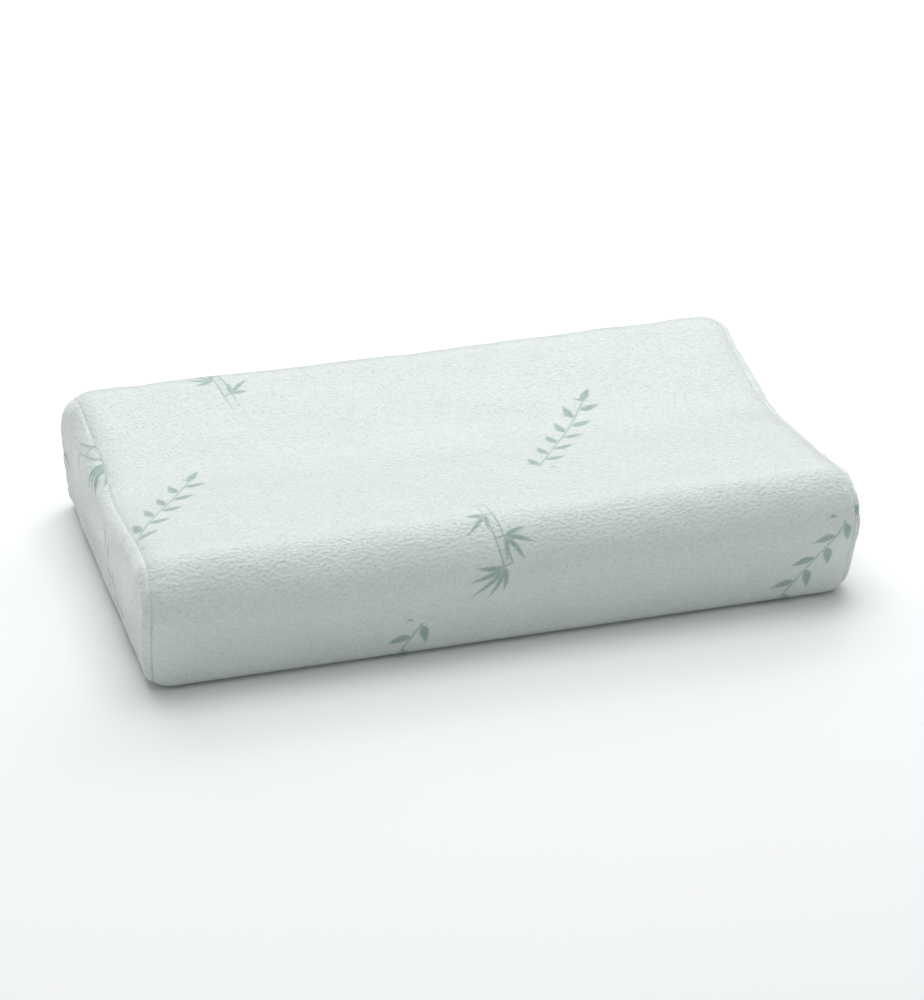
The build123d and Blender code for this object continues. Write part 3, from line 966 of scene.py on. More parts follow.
# ---- The pillow's form -----------------------------------------------------------------------------------
@dataclass(frozen=True)
class PillowForm:
    """The pillow's outline and its rounded, slightly crowned ends, in metres. Sizes follow the CAD frame."""

    length: float = field(default_factory=lambda: 2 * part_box("cover_end_right")[1].x)
    depth: float = field(default_factory=lambda: 2 * -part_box("cover_wrap")[0].y)
    low_lobe_height: float = 91.0 * MM
    high_lobe_height: float = field(default_factory=lambda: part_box("cover_wrap")[1].z)
    dip_height: float = 78.0 * MM
    dip_offset: float = 7.0 * MM
    low_lobe_radius: float = 32.0 * MM
    high_lobe_radius: float = 36.0 * MM
    dip_radius: float = 140.0 * MM
    front_tuck: float = 12.0 * MM
    bottom_radius: float = 12.0 * MM
    round_length: float = 21.0 * MM  # of the rounding towards an end, along the pillow
    round_inset: float = 12.9 * MM  # of the same rounding, across it
    end_crown: float = 2.5 * MM  # how far an end stands out at mid height
    crown_height: float = 43.6 * MM
    seam_angle: float = math.radians(46.0)  # where on the rounding the end seam lies
    seam_stray: float = math.radians(9.0)  # how far the seam is drawn in towards the top where the top dips
    seam_corner: float = 0.74  # under 1 makes the end turn more sharply just past the seam
    stray_place: float = 38.0 * MM  # where along Y it is drawn in most
    stray_reach: float = 34.0 * MM
    spine_reach: float = 100.0 * MM  # half the length of an end panel's middle line
    spine_height: float = 42.0 * MM
    zip_height: float = 41.0 * MM

    def rounds(self) -> list[tuple[float, float, float]]:
        """The outline's rounds as (y, z, signed radius), anticlockwise from the front; hollow is negative."""
        half = self.depth / 2
        low, high = self.low_lobe_radius, self.high_lobe_radius
        return [
            (-half + self.front_tuck + self.bottom_radius, self.bottom_radius, self.bottom_radius),
            (half - self.bottom_radius, self.bottom_radius, self.bottom_radius),
            (half - high, self.high_lobe_height - high, high),
            (self.dip_offset, self.dip_height + self.dip_radius, -self.dip_radius),
            (-half + low, self.low_lobe_height - low, low),
        ]


class Outline:
    """The pillow's cross-section and the same shape drawn in by any amount.

    Places on it are measured along the cloth, in metres, from the zip down the back and round to it again.
    """

    STEPS = 120  # samples on each round and on each straight run
    LEVEL = 1.0 * MM  # from one stored inset to the next
    LEVELS = 24
    LEAST_CORNER = 4.0 * MM  # a bottom corner drawn in keeps this radius

    def __init__(self, form: PillowForm) -> None:
        """Samples the outline finely."""
        self.form = form
        self.rings = np.stack([self._ring(level * self.LEVEL) for level in range(self.LEVELS)])
        points = self.rings[0]
        step = np.linalg.norm(np.diff(points, axis=0), axis=1)
        self.arc = np.concatenate([[0.0], np.cumsum(step)])
        self.perimeter = float(self.arc[-1])
        back = (points[:, 0] > 0.49 * form.depth) & (points[:, 1] > form.bottom_radius)
        self.zip_arc = float(np.interp(form.zip_height, points[back, 1], self.arc[back]))
        self.cloth = np.mod(self.zip_arc - self.arc, self.perimeter)

    def _ring(self, inset: float) -> np.ndarray:
        """The outline drawn in by an amount, sampled alike for every amount."""
        drawn_in = []
        for y, z, radius in self.form.rounds():
            corner = radius == self.form.bottom_radius
            least = max(radius - inset, self.LEAST_CORNER) if corner else radius - inset
            shift = least - (radius - inset)
            drawn_in.append((y - math.copysign(shift, y), z + shift, least))
        followers = drawn_in[1:] + drawn_in[:1]
        leaving = [self._normal(a, b) for a, b in zip(drawn_in, followers)]
        shares = np.linspace(0, 1, self.STEPS)
        pieces = []
        for i, (stretch, follower) in enumerate(zip(drawn_in, followers)):
            turn = (leaving[i] - leaving[i - 1] + math.pi) % (2 * math.pi) - math.pi
            angles = leaving[i - 1] + turn * shares
            ways = np.stack([np.cos(angles), np.sin(angles)], -1)
            arc = np.array(stretch[:2]) + stretch[2] * ways
            start = np.array(follower[:2]) + follower[2] * ways[-1]
            pieces += [arc, arc[-1] + (start - arc[-1]) * shares[1:-1, None]]
        ring = np.concatenate(pieces)
        return np.concatenate([ring, ring[:1]])

    @staticmethod
    def _normal(start: tuple[float, float, float], end: tuple[float, float, float]) -> float:
        """Direction of the outward normal of the straight run that touches two rounds, in radians."""
        run_y, run_z = end[0] - start[0], end[1] - start[1]
        return math.atan2(run_z, run_y) - math.acos((start[2] - end[2]) / math.hypot(run_y, run_z))

    def at(self, cloth: np.ndarray, inset: np.ndarray) -> np.ndarray:
        """Points of the outline drawn in.

        Args:
            cloth: Places along the cloth, one for each column.
            inset: How far each point is drawn in, rows by columns.

        Returns:
            Their (y, z), rows by columns by 2.
        """
        arc = np.mod(self.zip_arc - cloth, self.perimeter)
        rings = np.stack([[np.interp(arc, self.arc, ring[:, k]) for k in (0, 1)] for ring in self.rings])
        level = np.clip(inset / self.LEVEL, 0, self.LEVELS - 1.001)
        low = level.astype(int)
        share = (level - low)[..., None]
        column = np.broadcast_to(np.arange(len(cloth)), inset.shape)
        return rings[low, :, column] * (1 - share) + rings[low + 1, :, column] * share

    def place(self, y: float, top: bool) -> float:
        """Place along the cloth of the point of the top or the underside at a given y."""
        points = self.rings[0]
        height = points[:, 1]
        near = height > self.form.low_lobe_height / 2 if top else height < self.form.bottom_radius / 4
        order = np.argsort(points[near, 0])
        return float(np.interp(y, points[near, 0][order], self.cloth[near][order]))


@dataclass(frozen=True)
class Fineness:
    """How closely a layer's grid is spaced, in metres."""

    along: float
    across: float
    rounding: int  # rows between the straight middle and an end seam
    panel: int  # rows between an end seam and the flat of the end
    zip_rows: tuple[float, ...] = ()  # distances from the zip's middle line, in metres


class BagGrid:
    """One closed layer of the pillow as a grid: rows run from the left end's spine to the right end's."""

    SPINE_SHARES = (0.04, 0.1, 0.18, 0.3, 0.45, 0.62, 0.8, 1.0)

    def __init__(self, form: PillowForm, outline: Outline, fineness: Fineness, inset: float) -> None:
        """Lays out the grid.

        Args:
            form: The pillow's sizes.
            outline: Its cross-section.
            fineness: The spacing of rows and columns.
            inset: How far this layer lies inside the cover's surface.
        """
        self.form, self.outline, self.fineness, self.inset = form, outline, fineness, inset
        self.cloth = self._columns()
        self._rows()
        self.points = self._points()

    def _columns(self) -> np.ndarray:
        """Places along the cloth, from the zip's middle line round to it again."""
        form, line, step = self.form, self.outline, self.fineness.across
        reach = form.spine_reach
        zip_rows = np.array(self.fineness.zip_rows)
        stops = [
            zip_rows[-1] if len(zip_rows) else 0.0,
            form.zip_height - form.bottom_radius,
            line.place(form.depth / 2 - form.bottom_radius, False),
            line.place(reach, False),
            line.place(-reach, False),
            line.place(-form.depth / 2 + form.front_tuck + form.bottom_radius, False),
            line.place(-reach, True),
            line.place(reach, True),
            line.perimeter - (form.high_lobe_height - form.high_lobe_radius - form.zip_height),
            line.perimeter - (zip_rows[-1] if len(zip_rows) else 0.0),
        ]
        pieces = [zip_rows[:-1]] if len(zip_rows) else []
        level = np.linspace(reach, -reach, max(2, round(2 * reach / (1.25 * step))) + 1)
        for i, (start, end) in enumerate(zip(stops, stops[1:])):
            if i in (3, 6):
                pairs = [line.place(y, i == 6) for y in (level if i == 3 else level[::-1])]
                pieces.append(np.array(pairs[:-1]))
            else:
                count = max(2, round(abs(end - start) / step))
                pieces.append(np.linspace(start, end, count, endpoint=False))
        tail = line.perimeter - zip_rows[::-1] if len(zip_rows) else np.array([line.perimeter])
        return np.concatenate([*pieces, tail])

    def _rows(self) -> None:
        """Works out each row's place along the pillow, its inset and its share of the way to the spine."""
        form, fine = self.form, self.fineness
        half = form.length / 2 - form.round_length
        edge = 190.0 * MM if fine.zip_rows else half
        counts = [max(2, round(edge / fine.along)), max(2, round((half - edge) / (0.8 * fine.along)))]
        middle = np.linspace(0, edge, counts[0], endpoint=False)
        if half > edge:
            middle = np.concatenate([middle, np.linspace(edge, half, counts[1], endpoint=False)])
        to_seam = form.seam_angle * (1 - (1 - np.linspace(0, 1, fine.rounding, endpoint=False)) ** 1.6)
        past_seam = form.seam_angle + (math.pi / 2 - form.seam_angle) * np.linspace(0, 1, fine.panel) ** 1.3
        angle = np.concatenate([np.zeros(len(middle)), to_seam, past_seam])
        shares = np.array(self.SPINE_SHARES)
        angle = np.concatenate([angle, np.full(len(shares), math.pi / 2)])
        straight = np.concatenate([middle, np.full(len(angle) - len(middle), half)])
        share = np.concatenate([np.zeros(len(angle) - len(shares)), shares])
        arc = np.hypot(form.round_length * np.cos(angle), form.round_inset * np.sin(angle))
        travel = np.cumsum(np.concatenate([[0.0], np.diff(angle) * (arc[1:] + arc[:-1]) / 2]))
        place = straight + travel + share * form.spine_height
        mirror = slice(None, 0, -1)
        both = [np.concatenate([-a[mirror], a]) for a in (straight, place)]
        self.straight, self.place = both
        self.angle, self.share = (np.concatenate([a[mirror], a]) for a in (angle, share))
        self.side = np.where(self.place < 0, -1.0, 1.0)
        seam_row = len(middle) + len(to_seam)
        last = len(self.place) - 1
        self.right_seam = last - (len(angle) - 1 - seam_row)
        self.left_seam = last - self.right_seam
        self.seam_place = float(self.place[self.right_seam])

    def _points(self) -> np.ndarray:
        """Positions of every grid point, rows by columns by 3."""
        form = self.form
        ring = self.outline.at(self.cloth, np.zeros((1, len(self.cloth))))[0]
        angle = self._strayed(ring)
        across = self.outline.at(self.cloth, form.round_inset * (1 - np.cos(angle)) + self.inset)
        reach = np.clip(ring[:, 0], -form.spine_reach, form.spine_reach)
        spine = np.stack([reach, np.full_like(reach, form.spine_height)], -1)
        across += (spine[None] - across) * self.share[:, None, None]
        crown = form.end_crown * ((across[..., 1] - form.crown_height) / form.crown_height) ** 2
        bowed = crown * smooth_step(np.abs(self.straight), 0, form.length / 2 - form.round_length)[:, None]
        turned = np.sin(angle)
        at_seam = math.sin(form.seam_angle)
        past = np.clip((turned - at_seam) / (1 - at_seam), 0, 1) ** form.seam_corner
        turned = np.where(turned > at_seam, at_seam + (1 - at_seam) * past, turned)
        out = np.abs(self.straight)[:, None] + (form.round_length - self.inset) * turned
        x = self.side[:, None] * (out - bowed)
        return np.concatenate([x[..., None], across], -1)

    def _strayed(self, ring: np.ndarray) -> np.ndarray:
        """Each point's angle round the rounding, with the end seams drawn in along the dip's back slope."""
        form = self.form
        top = smooth_step(ring[:, 1], 0.6 * form.dip_height, 0.9 * form.dip_height)
        stray = form.seam_stray * top * np.exp(-(((ring[:, 0] - form.stray_place) / form.stray_reach) ** 2))
        seam = (form.seam_angle - stray)[None]
        angle = self.angle[:, None]
        before = angle * seam / form.seam_angle
        after = math.pi / 2 - (math.pi / 2 - angle) * (math.pi / 2 - seam) / (math.pi / 2 - form.seam_angle)
        return np.where(angle < form.seam_angle, before, after)

    def near_spine(self) -> np.ndarray:
        """How near each row is to the middle line of its end: 0 up to the end's edge, 1 on the line."""
        return smooth_step(self.share, 0.0, 1.0)[:, None]

    def normals(self, points: np.ndarray) -> np.ndarray:
        """Outward unit normals of the grid, from the run of its rows and columns."""
        down = np.gradient(points, axis=0)
        closed = np.concatenate([points[:, -2:-1], points, points[:, 1:2]], axis=1)
        along = np.gradient(closed, axis=1)[:, 1:-1]
        normal = np.cross(down, along)
        normal /= np.maximum(np.linalg.norm(normal, axis=2, keepdims=True), 1e-12)
        outward = np.zeros_like(normal)
        outward[..., 0] = self.side[:, None]
        share = self.near_spine()[..., None]
        return normal * (1 - share) + outward * share


# ---- The filled cover ------------------------------------------------------------------------------------
@dataclass
class FilledCover:
    """The knitted cover as it sits on the foam: its wrapped panel, its two end panels and its seams."""

    form: PillowForm
    outline: Outline
    wardrobe: Wardrobe
    cloth_thickness: float = 1.8 * MM
    swell: float = 2.2 * MM  # the most that the cloth may leave the foam's form
    start_inside: float = 1.2 * MM  # the cloth starts this far inside and is blown out
    crease: float = 1.5 * MM  # depth of the end seams
    pucker: float = 0.55 * MM
    sway: float = 0.45 * MM
    end_sway: float = 0.35 * MM
    closing_crease: float = 0.5 * MM
    opening_end: float = 190.0 * MM
    opening_half: float = 6.5 * MM
    hem_half: float = 11.5 * MM
    hem_rise: float = 1.0 * MM
    stitch_line: float = 9.0 * MM

    def build(self) -> None:
        """Builds and dresses the three panels and their sewing."""
        fine = self._fine_grid()
        points = fine.points + self._billow(fine)
        points = self._drawn_in(fine, points)
        self.grid, self.points = fine, points
        self._wrap(fine, points)
        for end in End:
            self._end_panel(fine, points, end)
            self._end_stitches(fine, points, end)
            self._closing_stitches(fine, points, end)

    def _fine_grid(self) -> BagGrid:
        """The grid of the visible cloth, with close rows beside the zip and the end seams."""
        beside = (0, 3.2, 6.5, 6.6, 6.9, 7.4, 8.2, 9.0, 9.8, 10.5, 11.0, 11.6, 12.4, 13.6, 16.0)
        zip_rows = tuple(distance * MM for distance in beside)
        fineness = Fineness(4.2 * MM, 2.7 * MM, 15, 9, zip_rows)
        return BagGrid(self.form, self.outline, fineness, 0.0)

    def _billow(self, fine: BagGrid) -> np.ndarray:
        """How far cloth simulation moves the cover off the foam's form.

        Args:
            fine: The grid to give the movement on.

        Returns:
            A vector for each of its points.
        """
        coarse = BagGrid(self.form, self.outline, Fineness(8 * MM, 7 * MM, 4, 3), 0.0)
        start = coarse.points - coarse.normals(coarse.points) * self.start_inside
        blown = self._blow_out(coarse, start)
        normal = coarse.normals(coarse.points)
        moved = blown - coarse.points
        outward = (moved * normal).sum(-1)
        moved -= normal * np.median(outward[self._loose(coarse) > 0.9])
        length = np.linalg.norm(moved, axis=2, keepdims=True)
        moved *= np.tanh(length / self.swell) * self.swell / np.maximum(length, 1e-9)
        log.info("billow: up to %.2f mm", 1000 * np.linalg.norm(moved, axis=2).max())
        return self._spread(coarse, fine, moved) * self._loose(fine)[..., None]

    def _blow_out(self, grid: BagGrid, start: np.ndarray) -> np.ndarray:
        """Runs the cloth under pressure and returns where its grid points come to rest."""
        flat = start.reshape(-1, 3)
        keys = np.round(grid.points.reshape(-1, 3) / (0.05 * MM)).astype(np.int64)
        _, first, back = np.unique(keys, axis=0, return_index=True, return_inverse=True)
        back = back.ravel()
        rows, columns = start.shape[:2]
        index = back.reshape(rows, columns)
        corners = np.stack([index[:-1, :-1], index[1:, :-1], index[1:, 1:], index[:-1, 1:]], -1)
        corners = corners.reshape(-1, 4)
        faces = []
        for quad in corners.tolist():
            ring = [k for n, k in enumerate(quad) if k != quad[n - 1]]
            if len(ring) > 2:
                faces.append(ring)
        mesh = bpy.data.meshes.new("cover_cloth")
        mesh.from_pydata(flat[first].tolist(), [], faces)
        cloth = bpy.data.objects.new("cover_cloth", mesh)
        bpy.context.scene.collection.objects.link(cloth)
        resting = cloth.vertex_groups.new(name="resting")
        low = grid.points.reshape(-1, 3)[first][:, 2]
        resting.add([int(i) for i in np.flatnonzero(low < 1.0 * MM)], 1.0, "REPLACE")
        sim = cloth.modifiers.new("cloth", "CLOTH")
        sim.settings.quality = 6
        sim.settings.mass = 0.25
        sim.settings.tension_stiffness = 12
        sim.settings.compression_stiffness = 8
        sim.settings.shear_stiffness = 4
        sim.settings.bending_stiffness = 0.6
        sim.settings.shrink_min = -0.012
        sim.settings.use_pressure = True
        sim.settings.uniform_pressure_force = 4.0
        sim.settings.vertex_group_mass = "resting"
        sim.settings.effector_weights.gravity = 0.0
        scene = bpy.context.scene
        for step in range(1, 21):
            scene.frame_set(step)
        shapes = bpy.context.evaluated_depsgraph_get()
        settled = bpy.data.meshes.new_from_object(cloth.evaluated_get(shapes), depsgraph=shapes)
        found = np.zeros(len(settled.vertices) * 3)
        settled.vertices.foreach_get("co", found)
        scene.frame_set(1)
        bpy.data.objects.remove(cloth)
        return found.reshape(-1, 3)[back].reshape(rows, columns, 3)

    @staticmethod
    def _spread(coarse: BagGrid, fine: BagGrid, moved: np.ndarray) -> np.ndarray:
        """Carries a movement from the coarse grid to the fine one, smoothly."""
        rows = np.stack(
            [[np.interp(fine.place, coarse.place, moved[:, j, k]) for k in range(3)]
             for j in range(moved.shape[1])]
        )
        both = np.stack(
            [[np.interp(fine.cloth, coarse.cloth, rows[:, k, i]) for k in range(3)]
             for i in range(len(fine.place))]
        )
        field_ = both.transpose(0, 2, 1)
        for _ in range(6):
            field_[1:-1] = (field_[:-2] + 2 * field_[1:-1] + field_[2:]) / 4
            field_[:, 1:-1] = (field_[:, :-2] + 2 * field_[:, 1:-1] + field_[:, 2:]) / 4
        return field_

    def _loose(self, grid: BagGrid) -> np.ndarray:
        """Where the cloth is free to leave the foam: 0 on the underside and beside the zip, 1 elsewhere."""
        height = smooth_step(grid.points[..., 2], 0.5 * MM, 12 * MM)
        from_zip = np.minimum(grid.cloth, grid.outline.perimeter - grid.cloth)[None]
        beside = 1 - smooth_step(from_zip, 14 * MM, 26 * MM)
        inside = 1 - smooth_step(np.abs(grid.points[..., 0]), self.opening_end, self.opening_end + 30 * MM)
        return height * (1 - beside * inside) * (1 - grid.near_spine())

    def _drawn_in(self, grid: BagGrid, points: np.ndarray) -> np.ndarray:
        """Adds the sway of the cloth, the creases and puckers at the seams, and the zip's raised hems."""
        normal = grid.normals(points)
        place, cloth = grid.place[:, None], grid.cloth[None]
        from_seam = np.abs(np.abs(place) - grid.seam_place)
        loose = self._loose(grid)
        rise = self.sway * ripples(place, cloth, 75 * MM, 0.4, 11) * 0.5
        rise += self.sway * ripples(place, cloth, 24 * MM, 0.3, 12) * 0.16
        rise *= smooth_step(from_seam, 2 * MM, 20 * MM)
        fold = ripples(cloth, cloth * 0, 13 * MM, 0.35, 21) * 0.6
        fold = fold + ripples(cloth, cloth * 0, 27 * MM, 0.3, 22) * 0.5
        gathered = 0.45 + 0.55 * smooth_step(ripples(cloth, cloth * 0, 120 * MM, 0.3, 23), -0.4, 0.9)
        fade = np.exp(-from_seam / (11 * MM)) * smooth_step(from_seam, 0, 3 * MM)
        rise += self.pucker * fold * gathered * fade
        rise *= loose
        seam = np.exp(-((from_seam / (1.3 * MM)) ** 2)) * 0.62
        seam = seam + np.exp(-((from_seam / (4.5 * MM)) ** 2)) * 0.38
        level = 1 - 0.6 * smooth_step(points[..., 2], 0.7 * self.form.dip_height, 0.98 * self.form.dip_height)
        rise -= self.crease * seam * level * (0.1 + 0.9 * smooth_step(points[..., 2], 1 * MM, 16 * MM))
        from_zip = np.minimum(cloth, grid.outline.perimeter - cloth)
        along = np.abs(points[..., 0])
        beyond = smooth_step(along, self.opening_end - 1 * MM, self.opening_end + 4 * MM)
        on_wrap = 1 - smooth_step(np.abs(place), grid.seam_place - 2 * MM, grid.seam_place + 1 * MM)
        rise -= beyond * on_wrap * self.closing_crease * np.exp(-((from_zip / (1.4 * MM)) ** 2))
        rise += (1 - beyond) * self._hem_rise(from_zip)
        drawn = points + normal * rise[..., None]
        on_end = smooth_step(np.abs(place), grid.seam_place, grid.seam_place + 15 * MM) * grid.side[:, None]
        drawn[..., 0] += on_end * self.end_sway * ripples(points[..., 1], points[..., 2], 70 * MM, 0.3, 13)
        return drawn

    def _hem_rise(self, from_zip: np.ndarray) -> np.ndarray:
        """Height of the folded hem at a distance from the zip's middle line."""
        up = self.hem_rise * (1 - smooth_step(from_zip, self.hem_half - 0.7 * MM, self.hem_half + 1.2 * MM))
        fold = 1 - smooth_step(from_zip, self.opening_half, self.opening_half + 0.9 * MM)
        valley = 0.28 * MM * np.exp(-(((from_zip - self.stitch_line) / (0.7 * MM)) ** 2))
        return up - 0.55 * MM * fold**2 - valley

    def _wrap(self, grid: BagGrid, points: np.ndarray) -> None:
        """The panel that goes round the pillow, with the zip's opening left out."""
        rows = slice(grid.left_seam, grid.right_seam + 1)
        panel = points[rows]
        cloth = np.broadcast_arrays(grid.place[rows][:, None], grid.cloth[None])
        centre = (panel[1:, 1:] + panel[:-1, :-1]) / 2
        middle = (grid.cloth[1:] + grid.cloth[:-1]) / 2
        from_zip = np.minimum(middle, grid.outline.perimeter - middle)[None]
        keep = (from_zip > self.opening_half) | (np.abs(centre[..., 0]) > self.opening_end)
        mesh = grid_mesh("cover_wrap_cloth", panel, np.stack(cloth, -1) + UV_MARGIN, keep, closed=True)
        piece = new_object("cover_wrap_cloth", mesh, self.wardrobe.cover)
        thicken(piece, self.cloth_thickness, -1.0)
        dress(piece, "cover_wrap")
        log.info("cover_wrap_cloth: %d faces", len(mesh.polygons))

    def _end_panel(self, grid: BagGrid, points: np.ndarray, end: End) -> None:
        """One end panel, from its seam in to its flat middle."""
        rows = slice(grid.right_seam, None) if end is End.RIGHT else slice(None, grid.left_seam + 1)
        panel = points[rows]
        name = f"cover_end_{end.name.lower()}"
        seen = panel[..., 1:] * (end.value, 1.0)
        mesh = grid_mesh(f"{name}_cloth", panel, seen + UV_MARGIN, closed=True)
        piece = new_object(f"{name}_cloth", mesh, self.wardrobe.cover_ends[end])
        thicken(piece, self.cloth_thickness, -1.0)
        dress(piece, name)
        log.info("%s_cloth: %d faces", name, len(mesh.polygons))

    def _end_stitches(self, grid: BagGrid, points: np.ndarray, end: End) -> None:
        """The overlock stitches that show in the bottom of an end seam."""
        row = grid.right_seam if end is End.RIGHT else grid.left_seam
        path, up = points[row, :-1], grid.normals(points)[row, :-1]
        stitches = RowOfItems(Repeat.STITCH, 3.0 * MM, 2.6 * MM, 0.16 * MM, 0.2 * MM, turn=0.35)
        name = f"cover_end_stitching_{end.name.lower()}"
        piece = new_object(f"{name}_thread", stitches.lay(name, path, up, self.wardrobe.thread, True), None)
        dress(piece, name)
        log.info("%s: %d faces", name, len(piece.data.polygons))

    def _closing_stitches(self, grid: BagGrid, points: np.ndarray, end: End) -> None:
        """The stitches of the short seam between the zip and one end, in the bottom of its crease."""
        name = f"cover_closing_stitching_{end.name.lower()}"
        side = points[:, 0, 0] * end.value
        rows = np.flatnonzero((side > self.opening_end) & (np.abs(grid.place) < grid.seam_place - 1 * MM))
        path, up = points[rows, 0], np.tile([0.0, 1.0, 0.0], (len(rows), 1))
        stitches = RowOfItems(Repeat.STITCH, 2.8 * MM, 2.4 * MM, 0.2 * MM, 0.2 * MM, turn=0.3)
        piece = new_object(f"{name}_thread", stitches.lay(name, path, up, self.wardrobe.thread), None)
        dress(piece, name)
        log.info("%s: %d faces", name, len(piece.data.polygons))


# ---- Inside the cover ------------------------------------------------------------------------------------
@dataclass
class FoamAndLiner:
    """The foam core and the thin liner sewn round it."""

    form: PillowForm
    outline: Outline
    wardrobe: Wardrobe
    liner_inset: float = 4.4 * MM
    liner_thickness: float = 0.5 * MM
    core_inset: float = 5.6 * MM
    seam_height: float = 22.0 * MM

    def build(self) -> None:
        """Builds the core, the liner's panels and its seams."""
        core = BagGrid(self.form, self.outline, Fineness(9 * MM, 7 * MM, 5, 4), self.core_inset)
        mesh = grid_mesh("foam_core_block", core.points, core.points[..., :2] + UV_MARGIN, closed=True)
        piece = new_object("foam_core_block", mesh, self.wardrobe.foam)
        dress(piece, "foam_core")
        log.info("foam_core_block: %d faces", len(mesh.polygons))
        self._liner()

    def _liner(self) -> None:
        """The liner's wrapped panel, end panels and stitches."""
        grid = BagGrid(self.form, self.outline, Fineness(7 * MM, 5 * MM, 6, 4), self.liner_inset)
        normal = grid.normals(grid.points)
        ruck = 0.3 * MM * ripples(grid.place[:, None], grid.cloth[None], 40 * MM, 0.4, 31) * 0.5
        ruck = ruck * smooth_step(grid.points[..., 2], 5 * MM, 15 * MM)
        points = grid.points + normal * ruck[..., None]
        parts = {
            "liner_wrap": slice(grid.left_seam, grid.right_seam + 1),
            "liner_end_left": slice(None, grid.left_seam + 1),
            "liner_end_right": slice(grid.right_seam, None),
        }
        for name, rows in parts.items():
            panel = points[rows]
            is_wrap = name == "liner_wrap"
            on_cloth = np.stack(np.broadcast_arrays(grid.place[rows][:, None], grid.cloth[None]), -1)
            cloth = on_cloth if is_wrap else panel[..., 1:]
            mesh = grid_mesh(f"{name}_cloth", panel, cloth + UV_MARGIN, closed=True)
            piece = new_object(f"{name}_cloth", mesh, self.wardrobe.liner)
            thicken(piece, self.liner_thickness, -1.0)
            dress(piece, name)
            log.info("%s_cloth: %d faces", name, len(mesh.polygons))
        for end in End:
            row = grid.right_seam if end is End.RIGHT else grid.left_seam
            name = f"liner_end_stitching_{end.name.lower()}"
            self._stitches(name, points[row, :-1], normal[row, :-1], True)
        column = int(np.argmin(np.abs(grid.cloth - (self.form.zip_height - self.seam_height))))
        rows = slice(grid.left_seam + 2, grid.right_seam - 1)
        self._stitches("liner_closing_stitching", points[rows, column], normal[rows, column], False)

    def _stitches(self, name: str, path: np.ndarray, up: np.ndarray, closed: bool) -> None:
        """One row of the liner's stitches."""
        stitches = RowOfItems(Repeat.STITCH, 3.4 * MM, 2.6 * MM, 0.15 * MM, 0.15 * MM, turn=0.5)
        piece = new_object(f"{name}_thread", stitches.lay(name, path, up, self.wardrobe.thread, closed), None)
        dress(piece, name)
        log.info("%s: %d faces", name, len(piece.data.polygons))


